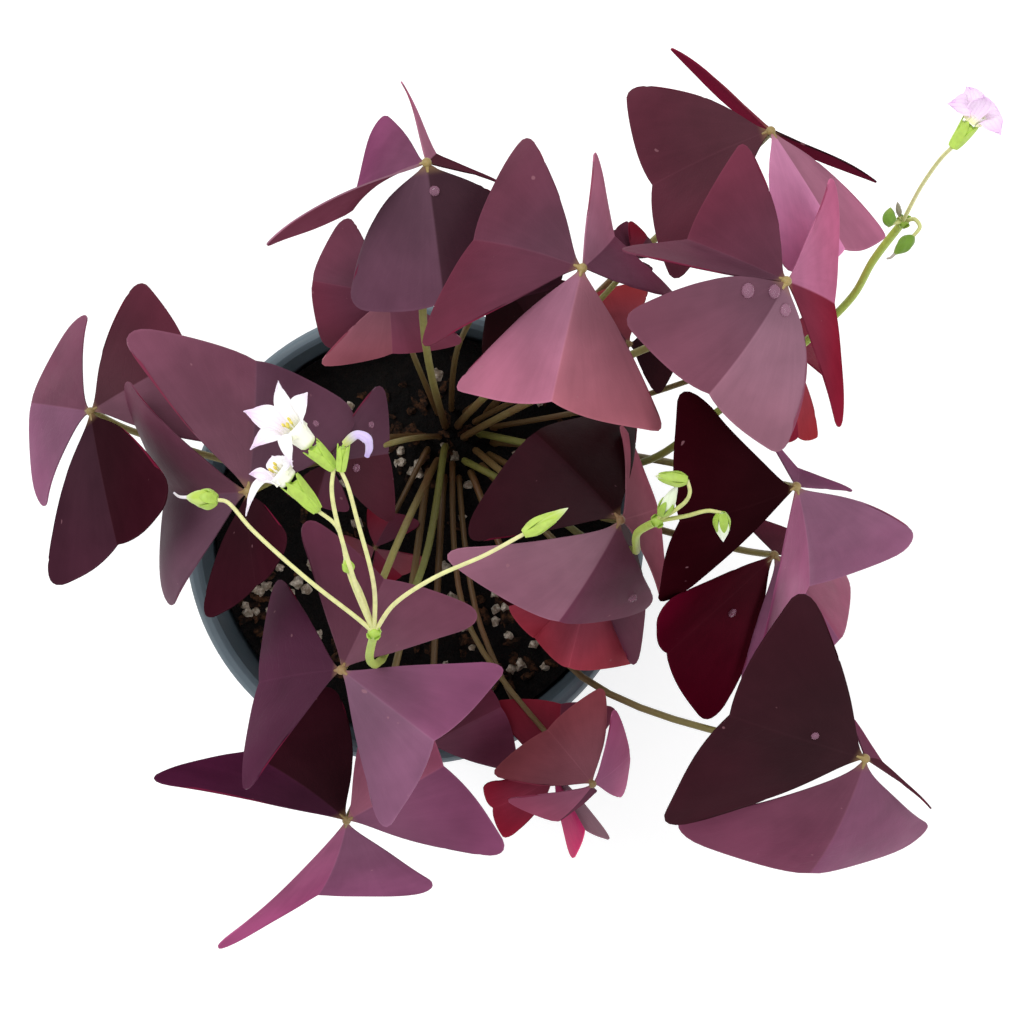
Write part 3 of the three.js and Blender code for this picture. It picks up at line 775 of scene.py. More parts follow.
@dataclass
class Pot:
    """The round nursery pot: flat base with drain holes, tapered wall and a collar at the rim."""

    height: float = 95.0
    rim_radius: float = 57.5
    rim_width: float = 3.8
    collar_height: float = 17.0
    collar_step: float = 1.8
    collar_draft: float = 0.3
    shoulder: float = 3.0
    wall: float = 1.6
    base_radius: float = 39.0
    floor: float = 2.4
    edge: float = 1.2
    steps: int = 128
    drain_count: int = 5
    drain_radius: float = 3.5
    drain_ring: float = 25.0
    drain_sides: int = 32
    bevel: float = 0.5

    @property
    def collar(self) -> float:
        """Height of the collar's lower edge."""
        return self.height - self.collar_height

    def wall_radius(self, z: float) -> float:
        """The wall's outer radius at a height under the collar."""
        under = self.rim_radius - self.edge - self.collar_step
        return self.base_radius + (under - self.base_radius) * z / self.collar

    def profile(self) -> list[tuple[float, float]]:
        """Radius and height of the corners of its section, from the axis underneath round to the floor."""
        inner = self.rim_radius - self.rim_width
        return [
            (0.0, 0.0),
            (self.base_radius - self.edge, 0.0),
            (self.base_radius, self.edge),
            (self.wall_radius(self.collar), self.collar),
            (self.rim_radius - self.edge, self.collar),
            (self.rim_radius - self.collar_draft, self.collar + self.edge),
            (self.rim_radius, self.height - self.edge),
            (self.rim_radius - self.edge, self.height),
            (inner + self.edge, self.height),
            (inner, self.height - self.edge),
            (self.wall_radius(self.collar) - self.wall, self.collar - self.shoulder),
            (self.wall_radius(self.floor) - self.wall, self.floor),
            (0.0, self.floor),
        ]

    def spin(self) -> bpy.types.Object:
        """Spins the section into the pot and closes its poles."""
        Bench.clear()
        corners = self.profile()
        bpy.ops.mesh.primitive_circle_add(vertices=len(corners), radius=1, fill_type="NOTHING")
        made = bpy.context.object
        for vertex, (radius, z) in zip(made.data.vertices, corners):
            vertex.co = Vector((radius, 0.0, z)) * MM
        Bench.edit(made, bpy.ops.mesh.spin, steps=self.steps, angle=2 * math.pi, center=(0, 0, 0), axis=UP)
        Bench.merge(made, 1e-5)
        Bench.face_outwards(made)
        return made

    def drill(self, pot: bpy.types.Object) -> None:
        """Cuts the drain holes through the floor.

        Args:
            pot: The spun pot.
        """
        for k in range(self.drain_count):
            turn = 2 * math.pi * k / self.drain_count
            spot = Vector((math.cos(turn), math.sin(turn), 0.0)) * self.drain_ring * MM
            Bench.clear()
            bpy.ops.mesh.primitive_cylinder_add(
                vertices=self.drain_sides,
                radius=self.drain_radius * MM,
                depth=4 * self.floor * MM,
                location=spot,
            )
            cutter = bpy.context.object
            Bench.modify(pot, "BOOLEAN", operation="DIFFERENCE", object=cutter, solver="EXACT")
            bpy.data.objects.remove(cutter)

    def build(self) -> bpy.types.Object:
        """Makes the pot, with its edges rounded."""
        pot = self.spin()
        self.drill(pot)
        limit = math.radians(25)
        Bench.modify(pot, "BEVEL", width=self.bevel * MM, segments=3, limit_method="ANGLE", angle_limit=limit)
        Bench.smooth(pot, 35.0)
        Bench.dress(pot, finish(PotFinish()))
        pot.name = "nursery_pot"
        return Bench.settle(pot, Slot.POT, "pot")


@dataclass(frozen=True)
class Crumbs:
    """One kind of loose bits in the soil: how many, their size and shape, and how deep they lie."""

    name: str
    count: int
    size: float
    squash: Point
    rough: float
    sink: float
    skin: EarthFinish
    moulds: int = 4

    def lump(self, random_: random.Random) -> bpy.types.Object:
        """One bit, as a broken lump at the origin.

        Args:
            random_: Where its shape comes from.

        Returns:
            The lump.
        """
        Bench.clear()
        bpy.ops.mesh.primitive_ico_sphere_add(subdivisions=2, radius=1)
        made = bpy.context.object
        offset = Vector((random_.uniform(0, 90), random_.uniform(0, 90), 0.0))
        for vertex in made.data.vertices:
            out = 1 + self.rough * noise.noise(vertex.co * 1.7 + offset)
            vertex.co = Vector((c * out * s * self.size * MM for c, s in zip(vertex.co, self.squash)))
        return made


CRUMBS = (
    Crumbs("perlite", 100, 1.55, (1.0, 0.85, 0.75), 0.7, -0.2, PERLITE),
    Crumbs("bark_bits", 170, 1.5, (1.5, 0.7, 0.4), 0.8, 0.0, BARK),
)


@dataclass
class SoilBed:
    """The soil in the pot: an uneven crumbly top, and loose bits that lie in it, more in some patches."""

    pot: Pot
    top: float = 79.0
    gap: float = 0.3
    mound: float = 2.5
    lump: float = 0.8
    crumble: float = 0.9
    sides: int = 260
    rings: int = 88
    top_share: float = 0.9
    seed: int = 7
    crown: tuple[float, float] = (9.0, 25.0)
    gathered: float = 0.75
    patches: tuple[Point, ...] = ((-1, 24, 7), (-44, -20, 6), (-30, -32, 7), (20, -28, 9))
    margin: float = 2.5
    sizes: Range = (0.6, 1.3)
    tilt: float = 1.2

    def edge(self) -> float:
        """Radius of the soil's top."""
        return self.pot.wall_radius(self.pot.collar - self.pot.shoulder) - self.pot.wall - self.gap

    def height(self, x: float, y: float) -> float:
        """Height of the soil's top with its crumbs.

        Args:
            x: Place across the pot.
            y: Place along it.

        Returns:
            The height in millimetres.
        """
        away = math.hypot(x - self.crown[0], y - self.crown[1]) / 60
        lumps = math.sin(x / 4.1 + 1) * math.cos(y / 3.7) + 0.6 * math.sin(x / 9 - y / 7)
        fine = noise.fractal(Vector((x, y, 0.0)) / 2.6, 0.9, 2.0, 4) * self.crumble
        return self.top + self.mound * math.exp(-6 * away * away) + self.lump * lumps + fine

    def surface(self, u: float, v: float) -> Vector:
        """The soil's skin: out over the top, down the pot's wall and back to the axis underneath.

        Args:
            u: Place around it, -1 to 1.
            v: Place along that way, 0 to 1.

        Returns:
            The place in millimetres.
        """
        angle = math.pi * u
        edge = self.edge()
        bottom = self.pot.floor + self.gap
        inside = self.pot.wall_radius(bottom) - self.pot.wall - self.gap
        if v <= self.top_share:
            out = edge * v / self.top_share
            x, y = out * math.cos(angle), out * math.sin(angle)
            return Vector((x, y, self.height(x, y)))
        down = (v - self.top_share) / (1 - self.top_share)
        out = edge + (inside - edge) * min(1.0, 2 * down)
        out *= 1.0 if down <= 0.5 else 2 - 2 * down
        z = self.top + (bottom - self.top) * min(1.0, 2 * down)
        return Vector((out * math.cos(angle), out * math.sin(angle), z))

    def bed(self) -> bpy.types.Object:
        """Makes the soil itself."""
        made = sheet(self.surface, self.sides, self.rings)
        Bench.merge(made, 2e-5)
        Bench.face_outwards(made)
        Bench.dress(made, finish(EARTH))
        return made

    def spot(self, random_: random.Random) -> tuple[float, float]:
        """A place on the soil, more often where bits have gathered.

        Args:
            random_: Where the place comes from.

        Returns:
            The place across and along the pot.
        """
        limit = self.edge() - self.margin
        if random_.random() < self.gathered:
            x, y, size = random_.choice(self.patches)
            x, y = random_.gauss(x, size), random_.gauss(y, size)
            if math.hypot(x, y) < limit:
                return x, y
        out, turn = limit * math.sqrt(random_.random()), random_.uniform(0, 2 * math.pi)
        return out * math.cos(turn), out * math.sin(turn)

    def scatter(self, kind: Crumbs, random_: random.Random) -> bpy.types.Object:
        """Lays copies of a few lumps on the soil.

        Args:
            kind: What they are.
            random_: Where their shapes and places come from.

        Returns:
            All copies as one mesh.
        """
        moulds = [kind.lump(random_) for _ in range(kind.moulds)]
        copies = []
        for _ in range(kind.count):
            mould = random_.choice(moulds)
            copy = mould.copy()
            copy.data = mould.data.copy()
            bpy.context.collection.objects.link(copy)
            x, y = self.spot(random_)
            size = random_.uniform(*self.sizes)
            axis = [random_.gauss(0, 1) for _ in range(3)]
            tilt = Quaternion(axis, random_.uniform(0, self.tilt))
            turn = (tilt @ Quaternion(UP, random_.uniform(0, 2 * math.pi))).to_matrix().to_4x4()
            place = Vector((x, y, self.height(x, y) - kind.sink)) * MM
            copy.data.transform(Matrix.Translation(place) @ turn @ Matrix.Scale(size, 4))
            copies.append(copy)
        for mould in moulds:
            bpy.data.objects.remove(mould)
        whole = Bench.join(copies, kind.name)
        Bench.dress(whole, finish(kind.skin))
        Bench.smooth(whole, 50.0)
        return whole

    def build(self) -> list[bpy.types.Object]:
        """Makes the soil and what lies in it."""
        random_ = random.Random(self.seed)
        bed = Bench.join([self.bed()], "potting_soil")
        Bench.smooth(bed, 60.0)
        loose = [self.scatter(kind, random_) for kind in CRUMBS]
        loose = [Bench.settle(piece, Slot.SOIL) for piece in loose]
        return [Bench.settle(bed, Slot.SOIL, "soil"), *loose]


# ---------------------------------------------------------------------------------- leaves


@dataclass(frozen=True)
class Crown:
    """Where the stems leave the soil, and how thick they are."""

    x: float = 9.0
    y: float = 25.0
    soil_top: float = 79.0
    depth: float = 9.0
    upright: float = 8.5
    petiole_foot: float = 1.1
    petiole_top: float = 0.75
    swell: float = 0.25
    swell_start: float = 0.96
    peduncle_foot: float = 0.95
    peduncle_top: float = 0.8
    pedicel: float = 0.38

    def root(self, distance: float, side: float) -> Vector:
        """Where a stem leaves the soil, from how far and on which side of the crown's middle it stands."""
        turn = math.radians(side)
        return Vector((self.x + distance * math.cos(turn), self.y + distance * math.sin(turn), self.soil_top))

    def start(self, root: Vector) -> list[Vector]:
        """The first points of every stem: straight up through the soil."""
        return [root + UP * z for z in (-self.depth, 1.0, self.upright)]


@dataclass(frozen=True)
class BladeForm:
    """How every leaflet is cut."""

    half_angle: float = math.radians(47)
    pinch: float = 0.5
    lobe: float = 0.05
    side_end: float = 0.74
    fold_ease: float = 1.5
    crease: float = 0.03
    thickness: float = 0.34
    wave: float = 0.012
    columns: int = 36
    rows: int = 24

    def reach(self, u: float, start: float) -> float:
        """How far the leaflet reaches at u across it, where 1 is its length along the midrib.

        Args:
            u: Place across it, -1 to 1.
            start: Where the rounding of its corners starts, up to 1 for a sharp corner.

        Returns:
            The reach.
        """
        across = abs(u)
        turned = max(0.0, (across - start) / (1 - start))
        lobe = 1 + self.lobe * math.sin(math.pi * across**0.85)
        corner = self.side_end + (1 - self.side_end) * math.sqrt(1 - turned * turned)
        return lobe * corner / math.cos(across * self.half_angle)


@dataclass(frozen=True)
class Leaflet:
    """One of a leaf's three leaflets: where it points, how it lies, the colour of each half with painted
    light and shade in it, and how it is bent.

    The heading is anticlockwise from +X, a pitch below 0 droops, and a fold above 0 stands as a tent.
    """

    heading: float
    pitch: float
    roll: float
    fold: float
    length: float
    left: Shade
    right: Shade
    curl: float = 15.0
    cup: float = 0.1
    bulge: float = 0.2
    corner: float = 0.8
    form: BladeForm = BladeForm()

    def axes(self) -> tuple[Vector, Vector, Vector]:
        """The ways across and along the leaflet, and its normal."""
        h, p, r = (math.radians(angle) for angle in (self.heading, self.pitch, self.roll))
        along = Vector((math.cos(p) * math.cos(h), math.cos(p) * math.sin(h), math.sin(p)))
        level = Vector((math.sin(h), -math.cos(h), 0.0))
        upright = level.cross(along)
        return level * math.cos(r) + upright * math.sin(r), along, upright * math.cos(r) - level * math.sin(r)

    def flat(self, u: float, v: float) -> Vector:
        """The place on the leaflet laid flat.

        Args:
            u: Place across it, -1 to 1.
            v: Place along it, 0 to 1.

        Returns:
            The place across and along, where 1 is its length along the midrib.
        """
        u = math.sin(0.5 * math.pi * u)
        out = v * self.form.reach(u, self.corner)
        angle = u * self.form.half_angle * (1 + self.bulge * (1 - v) - self.form.pinch * (1 - v) ** 6)
        return Vector((out * math.sin(angle), out * math.cos(angle), 0.0))

    def surface(self, hub: Vector) -> Surface:
        """The leaflet's middle surface.

        Args:
            hub: Where its foot is.

        Returns:
            What gives its places.
        """
        form = self.form
        across, along, normal = self.axes()
        curl = math.radians(self.curl)
        radius = self.length / curl
        phase = self.heading * 0.7 + self.length

        def place(u: float, v: float) -> Vector:
            """The place on the leaflet, folded, cupped, rippled and curled down.

            Args:
                u: Place across it, -1 to 1.
                v: Place along it, 0 to 1.

            Returns:
                The place in millimetres.
            """
            side, forward, _ = self.flat(u, v) * self.length
            out = math.hypot(side, forward)
            tilt = math.radians(self.fold) * out / (out + form.fold_ease)
            ripple = form.wave * self.length * v**2 * math.sin(7 * u + 3 * v + phase)
            ripple *= math.sin(4 * u - phase)
            crease = form.crease * self.length
            lean = math.hypot(side, crease) - crease
            drop = ripple - lean * math.sin(tilt) - self.cup * side * side / self.length
            bend = curl * forward / self.length
            return (
                hub
                + across * side * math.cos(tilt)
                + along * (radius + drop) * math.sin(bend)
                + normal * (drop * math.cos(bend) - radius * (1 - math.cos(bend)))
            )

        return place


@dataclass(frozen=True)
class Leaf:
    """A leaf: its hub, its root's distance and side, its slot, its leaflets and how its petiole runs.

    The petiole bends aside by a length, and climbs to a share of its height early and to another one late.
    By then it has gone over by its lean and its reach. A leaf is finer where its leaflets are shorter than a
    young one's, and a leaflet steeper than a share of upright is matt.
    """

    name: str
    hub: Point
    root: tuple[float, float]
    slot: Slot
    leaflets: tuple[Leaflet, Leaflet, Leaflet]
    bend: float = 0.0
    rise: float = 0.6
    late: float = 0.8
    lean: float = 0.45
    reach: float = 0.9
    ease: float = 0.35
    young: float = 20.0
    neck: float = 2.5
    steep: float = 0.7
    crown: Crown = Crown()

    def blade(self) -> bpy.types.Object:
        """Makes the three leaflets and the hub that joins them."""
        hub = Vector(self.hub)
        parts = []
        for leaflet in self.leaflets:
            form = leaflet.form
            share = 1.0 if leaflet.length > self.young else 0.7
            columns, rows = round(form.columns * share / 2) * 2, round(form.rows * share)
            part = sheet(leaflet.surface(hub), columns, rows, leaflet.flat)
            steep = abs(leaflet.axes()[2].z) < self.steep
            warm = self.slot in (Slot.MAUVE, Slot.WINE)
            sides = (LeafFinish(leaflet.left, leaflet.right, under, steep, warm) for under in (False, True))
            Bench.dress(part, *(finish(side) for side in sides))
            thicken(part, form.thickness, under=1)
            parts.append(part)
        parts.extend(self.knot(hub))
        whole = Bench.join(parts, f"leaf_{self.name}_leaflets")
        Bench.smooth(whole, 60.0)
        return Bench.settle(whole, self.slot, f"leaf_{self.name}_blade")

    def knot(self, hub: Vector) -> list[bpy.types.Object]:
        """The hub's knob and the short stalk of each leaflet.

        Args:
            hub: Where they are.

        Returns:
            The parts, each with its finish.
        """
        scale = min(1.0, self.leaflets[0].length / self.young)
        parts = [pod(hub, UP, ball(scale), 1.9 * scale)]
        for leaflet in self.leaflets:
            surface = leaflet.surface(hub)
            way = [surface(0.0, v) + UP * 0.1 for v in (0.0, 0.03, 0.07)]
            stalklet = tube(catmull(way, 6), lambda share: (0.7 - 0.45 * share) * scale, 8)
            parts.append(stalklet)
        for part in parts:
            Bench.dress(part, finish(HUB))
        return parts

    def route(self) -> list[Vector]:
        """The points that the petiole passes: upright out of the soil, then over to the hub."""
        root = self.crown.root(*self.root)
        tip = Vector(self.hub) - UP * self.neck
        chord = tip - root
        aside = Vector((-chord.y, chord.x, 0.0)).normalized() * self.bend
        middle = root + Vector((self.lean * chord.x, self.lean * chord.y, self.rise * chord.z)) + aside
        near = root + Vector((self.reach * chord.x, self.reach * chord.y, self.late * chord.z))
        near += aside * self.ease
        return [*self.crown.start(root), middle, near, tip, Vector(self.hub) - UP * 0.6]

    def petiole(self) -> bpy.types.Object:
        """Makes the leaf's stem, slimmer to the top and a little thicker under the hub."""
        crown = self.crown
        young = 0.8 if self.leaflets[0].length < self.young else 1.0

        def radius(share: float) -> float:
            """The petiole's radius.

            Args:
                share: How far up it is, 0 to 1.

            Returns:
                The radius in millimetres.
            """
            slim = crown.petiole_foot + (crown.petiole_top - crown.petiole_foot) * share**0.6
            last = max(0.0, share - crown.swell_start) / (1 - crown.swell_start)
            return young * (slim + crown.swell * last)

        made = tube(catmull(self.route(), 44), radius)
        made = Bench.join([made], f"leaf_{self.name}_stem")
        Bench.smooth(made, 50.0)
        Bench.dress(made, finish(PETIOLE))
        return Bench.settle(made, Slot.PETIOLE, f"leaf_{self.name}_petiole")

    def drop(self, leaflet: int, u: float, v: float, radius: float) -> bpy.types.Object:
        """Makes a drop of water that sits on a leaflet.

        Args:
            leaflet: Which of the three.
            u: Place across it, -1 to 1.
            v: Place along it, 0 to 1.
            radius: In millimetres.

        Returns:
            The drop.
        """
        shape = self.leaflets[leaflet]
        normal = shape.axes()[2]
        spot = shape.surface(Vector(self.hub))(u, v) + normal * (shape.form.thickness / 2 + 0.15 * radius)
        made = pod(spot, normal, ball(radius), 1.1 * radius)
        Bench.face_outwards(made)
        return made


def grown(name: str, hub: Point, root: tuple[float, float], slot: Slot, *rows: tuple, **way: float) -> Leaf:
    """A leaf, from the rows of its leaflets.

    Args:
        name: Its letter.
        hub: Where its leaflets meet.
        root: The distance and the side of its stem's foot.
        slot: The record's slot of its blade.
        rows: Each leaflet's fields in their order.
        way: What bends its petiole: bend, rise and late.

    Returns:
        The leaf.
    """
    return Leaf(name, hub, root, slot, tuple(Leaflet(*row) for row in rows), **way)


# Each leaflet row: heading, pitch, roll, fold, length, the colours of its left and right halves, curl, cup,
# bulge and corner. The two colours hold painted light: lighter on the half turned to the light, darker where
# it lies in shade.
S = Shade
LEAVES = (
    grown(
        "a", (7, 77, 178), (3.4, 120), Slot.PLUM,
        (183, -41, -49, -28, 28, S.ORCHID, S.PURPLE, 30, 0.1, 0),
        (277, -10, -12, 25, 28.5, S.NIGHT, S.PLUM, 1, 0.1, 0.5, 0.76),
        (64, -63, -20, -28, 19.5, S.BLUSH, S.FIG, 25),
        bend=2, rise=0.82,
    ),
    grown(
        "b", (38, 53, 196), (3.4, 60), Slot.MAUVE,
        (157, -12, -12, -9, 26, S.PRUNE, S.DAMSON, 35, 0.15, 0.14, 0.88),
        (256, 21, -6, 38, 27.5, S.FOXGLOVE, S.BLUSH, 20, 0.1, 0.2, 0.88),
        (44, -42, -19, -22, 18.5, S.BLUSH, S.BRICK, 25, 0.05, 0.2, 0.9),
        bend=-2,
    ),
    grown(
        "c", (78.9, 86, 166), (11.2, 34), Slot.PLUM,
        (198, -15, -28, -11, 28, S.FIG, S.FIG, 15, 0.15, 0.2, 0.85),
        (303, 5, 55, 0, 29.5, S.BLUSH, S.BLOOM, 5, 0.05, 0.3, 0.85),
        (64, -71, -7, -10, 32, S.GARNET, S.CLARET, 15, 0, 0.2, 0.7),
        bend=2, rise=0.42,
    ),
    grown(
        "d", (77, 50, 200), (3.4, 0), Slot.MAUVE,
        (242, 12, 34, -4, 26.5, S.ORCHID, S.GRAPE, 25, 0.15, 0.5, 0.82),
        (150, -28, -32, -31, 23.5, S.DAMSON, S.PRUNE, 5, 0, 0.2, 0.9),
        (355, -56, 7, -10, 28, S.PINK, S.GARNET, 10, 0.15, 0.1, 0.85),
    ),
    grown(
        "e", (83, 11, 174), (11.2, -8), Slot.PLUM,
        (205, 32, 44, 10, 28.5, S.INK, S.INK, 25, 0.1, -0.1, 0.85),
        (291, -34, 26, -26, 30, S.ROSE, S.DOVE, 20, 0.1, 0.2, 0.76),
        (59, -61, -4, -21, 14, S.MULBERRY, S.MULBERRY, 20, 0.1, 0.2, 0.85),
        bend=2, rise=0.4,
    ),
    grown(
        "f", (100, -47, 160), (11.2, -62), Slot.DUSKY,
        (162, 19, 25, 3, 33.5, S.CLARET, S.CLARET, 5, 0, 0.1, 0.84),
        (258, -22, 19, 11, 35.8, S.PURPLE, S.BRICK, 25, 0.15, 0, 0.72),
        (352, -58, 52, -13, 16.5, S.BRICK, S.FIG, 20, 0.1, 0.3, 0.76),
        bend=-24, rise=0.33, late=0.75,
    ),
    grown(
        "g", (-11, -27, 172), (7.4, -120), Slot.PLUM,
        (187, -30, -25, -6, 25, S.DUSK, S.DUSK, 20, 0.1, 0.1, 0.88),
        (65, -28, -9, -21, 25, S.DAMSON, S.GRAPE, 20, 0.1, 0, 0.78),
        (326, 25, 7, 31, 25.5, S.MULBERRY, S.CERISE, 10, 0.1, 0, 0.85),
    ),
    grown(
        "h", (-13, -64, 138), (11.2, -122), Slot.PLUM,
        (143, -22, -55, -18, 32.5, S.DUSK, S.CLARET, 20, 0.1, 0.2, 0.86),
        (31, 23, -4, 10, 27.5, S.MAGENTA, S.PURPLE, 10, 0.05, 0.1),
        (257, -34, 36, -20, 32, S.MULBERRY, S.DOVE, 25, 0.1, 0, 0.82),
        bend=3, late=0.6,
    ),
    grown(
        "i", (-69, 28, 146), (11.2, 180), Slot.PLUM,
        (33, -1, 18, -2, 25, S.FIG, S.GRAPE, 15, 0.1, 0.2, 0.84),
        (170, -38, -3, 8, 26, S.MULBERRY, S.BRICK, 15, 0.2, 0, 0.72),
        (283, 17, -47, -5, 31.5, S.CLARET, S.NIGHT, 5, 0, 0.3, 0.72),
        bend=10,
    ),
    grown(
        "j", (-31, 10, 168), (7.4, 180), Slot.PLUM,
        (86, -21, -37, 3, 32, S.GRAPE, S.PLUM, 15, 0.1, 0.3, 0.76),
        (184, -24, 12, -25, 31, S.PLUM, S.DAMSON, 45, 0.25, 0.1, 0.74),
        (275, 28, -54, -14, 21.5, S.CLARET, S.CLARET, 10, 0.1, 0.2, 0.72),
        bend=-4, rise=0.45,
    ),
    grown(
        "k", (43, -57, 130), (7.4, -88), Slot.WINE,
        (130, -19, -9, -7, 17.5, S.RUST, S.RUST, 20, 0.1, 0.3, 0.86),
        (24, -28, -33, 7, 13.5, S.DOVE, S.DOVE, 25, 0.1, 0.1, 0.86),
        (238, -28, 48, 21, 15, S.DAMSON, S.MAGENTA, 15, 0.1, 0.2, 0.86),
        bend=-12, rise=0.55, late=0.65,
    ),
    grown(
        "l", (48, 4, 154), (7.4, -30), Slot.PLUM,
        (131, -17, -14, 27, 30, S.CLARET, S.INK, 20, 0.1, 0.2, 0.76),
        (244, -22, 28, 17, 30, S.BRICK, S.ORCHID, 15, 0.15, 0, 0.86),
        (14, -54, -1, 4, 22.5, S.FOXGLOVE, S.FOXGLOVE, 20, 0.1, 0),
        bend=-3,
    ),
    grown(
        "m", (84, -4, 136), (11.2, -26), Slot.DUSKY,
        (223, 10, 56, -19, 33.5, S.WINE, S.WINE, 5, 0.1, 0.2, 0.76),
        (312, -2, 22, 34, 25.6, S.MAGENTA, S.MULBERRY, 20),
        (48, -47, 20, 5, 13, S.FIG, S.FIG),
        bend=-4, rise=0.7,
    ),
    grown(
        "n", (-3, 54, 146), (7.4, 120), Slot.WINE,
        (169, -10, 9, 28, 18.5, S.PRUNE, S.DAMSON, 15, 0.1, 0.2, 0.76),
        (272, -40, 12, -7, 17.5, S.MAGENTA, S.FOXGLOVE, 15, 0.1, 0.2, 0.86),
        (50, -10, 0, 30, 10, S.CLARET, S.CLARET),
    ),
    grown(
        "o", (43, -10, 124), (11.2, -44), Slot.WINE,
        (254, 5, -11, 52, 21.5, S.MAUVE, S.MAUVE, 20, 0.1, 0.2, 0.86),
        (351, -40, 20, 8, 20, S.CLARET, S.BRICK),
        (204, -8, 50, 0, 21, S.MAUVE, S.INK),
    ),
    grown(
        "p", (50, 60, 160), (7.4, 60), Slot.WINE,
        (115, 15, -50, 0, 7, S.DAMSON, S.DAMSON),
        (50, -5, -40, 10, 6, S.GARNET, S.DAMSON),
        (291, -12, 0, 40, 5, S.DAMSON, S.DAMSON),
        bend=-3,
    ),
    grown(
        "q", (51, 44, 136), (7.4, 32), Slot.WINE,
        (125, -14, 10, 40, 15, S.PRUNE, S.HEATHER),
        (226, -12, 0, 40, 13, S.PRUNE, S.PRUNE),
        (351, -5, 5, 40, 12, S.CLARET, S.CLARET),
    ),
    grown(
        "r", (85.2, 43.8, 142), (11.2, 12), Slot.WINE,
        (357, -22, 30, -14, 10.5, S.GARNET, S.GARNET),
        (283, 2, 65, -3, 21.5, S.HEATHER, S.GARNET, 10),
        (150, 0, 10, 20, 10, S.CLARET, S.CLARET),
        bend=-3,
    ),
    grown(
        "s", (34.9, -58.4, 107), (11.2, -80), Slot.WINE,
        (212, 11, 56, -12, 17, S.GARNET, S.GARNET, 15, 0.1, 0.3),
        (301, 34, 7, 74, 16, S.GRAPE, S.FUCHSIA, 5, 0.15, 0),
        (84, 6, -12, 15, 17.5, S.GARNET, S.PRUNE),
        bend=-6, rise=0.85, late=0.76,
    ),
    grown(
        "t", (-9.6, -3.2, 98), (7.4, -150), Slot.WINE,
        (66, -8, 40, -5, 10, S.GARNET, S.PRUNE),
        (309, -13, -40, 0, 10, S.RUST, S.GARNET),
        (202, 13, 5, 40, 8, S.RUST, S.RUST),
    ),
    grown(
        "u", (-17, 17, 140), (3.4, 180), Slot.PLUM,
        (9, -36, -8, -7, 17.5, S.PLUM, S.FIG, 15, 0.1, 0.3),
        (110, 10, 0, 40, 10, S.PRUNE, S.DAMSON),
        (255, 12, 5, 40, 10, S.DAMSON, S.FIG),
        rise=0.85,
    ),
    grown(
        "v", (4, -50, 114), (11.2, -100), Slot.DUSKY,
        (27, -2, 8, 40, 20, S.PRUNE, S.BRICK),
        (100, -10, -5, 25, 11, S.CLARET, S.CLARET),
        (240, 0, 20, 0, 10, S.CLARET, S.CLARET),
        rise=0.5, late=0.55,
    ),
    grown(
        "w", (21, 60, 138), (7.4, 90), Slot.DUSKY,
        (305, -5, -5, 30, 17, S.CLARET, S.INK),
        (80, 5, 0, 40, 14, S.INK, S.INK),
        (207, 0, 8, 40, 10, S.GARNET, S.CLARET),
        bend=3,
    ),
)

# Drops of water: the leaf, which leaflet, the place across and along it, and the radius.
DROPS = (
    ("d", 0, 0.55, 0.3, 1.5),
    ("d", 0, 0.3, 0.13, 1.4),
    ("d", 0, -0.35, 0.18, 1.3),
    ("a", 1, -0.1, 0.2, 1.1),
    ("u", 0, 0.2, 0.4, 1.0),
    ("u", 0, -0.4, 0.7, 0.8),
    ("j", 0, 0.5, 0.7, 0.8),
    ("l", 1, -0.6, 0.75, 1.2),
    ("m", 0, -0.2, 0.45, 1.2),
    ("f", 0, 0.1, 0.4, 0.9),
)


def water_drops() -> bpy.types.Object:
    """Makes the drops of water that lie on the leaflets."""
    by_name = {leaf.name: leaf for leaf in LEAVES}
    drops = [by_name[name].drop(leaflet, u, v, radius) for name, leaflet, u, v, radius in DROPS]
    whole = Bench.join(drops, "water_drops")
    Bench.smooth(whole, 180.0)
    Bench.dress(whole, finish(WaterFinish()))
    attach(whole, BODY)
    return whole


# ---------------------------------------------------------------------------------- flowers


class End(Enum):
    """What a pedicel carries: a bud or seed pod that is closed, or the cup under an open flower."""

    CLOSED = "closed"
    CALYX = "calyx"


class Tint(Enum):
    """The colours of a closed bud or seed pod: at its foot, of its body and at its tip."""

    LIME = (paint(140, 182, 58), paint(180, 206, 84), paint(236, 234, 222))
    PALE = (paint(140, 190, 76), paint(226, 236, 208), paint(252, 250, 252))
    GREEN = (paint(112, 142, 52), paint(104, 140, 40), paint(150, 168, 70))
    DRY = (paint(150, 160, 110), paint(150, 144, 124), paint(170, 160, 150))


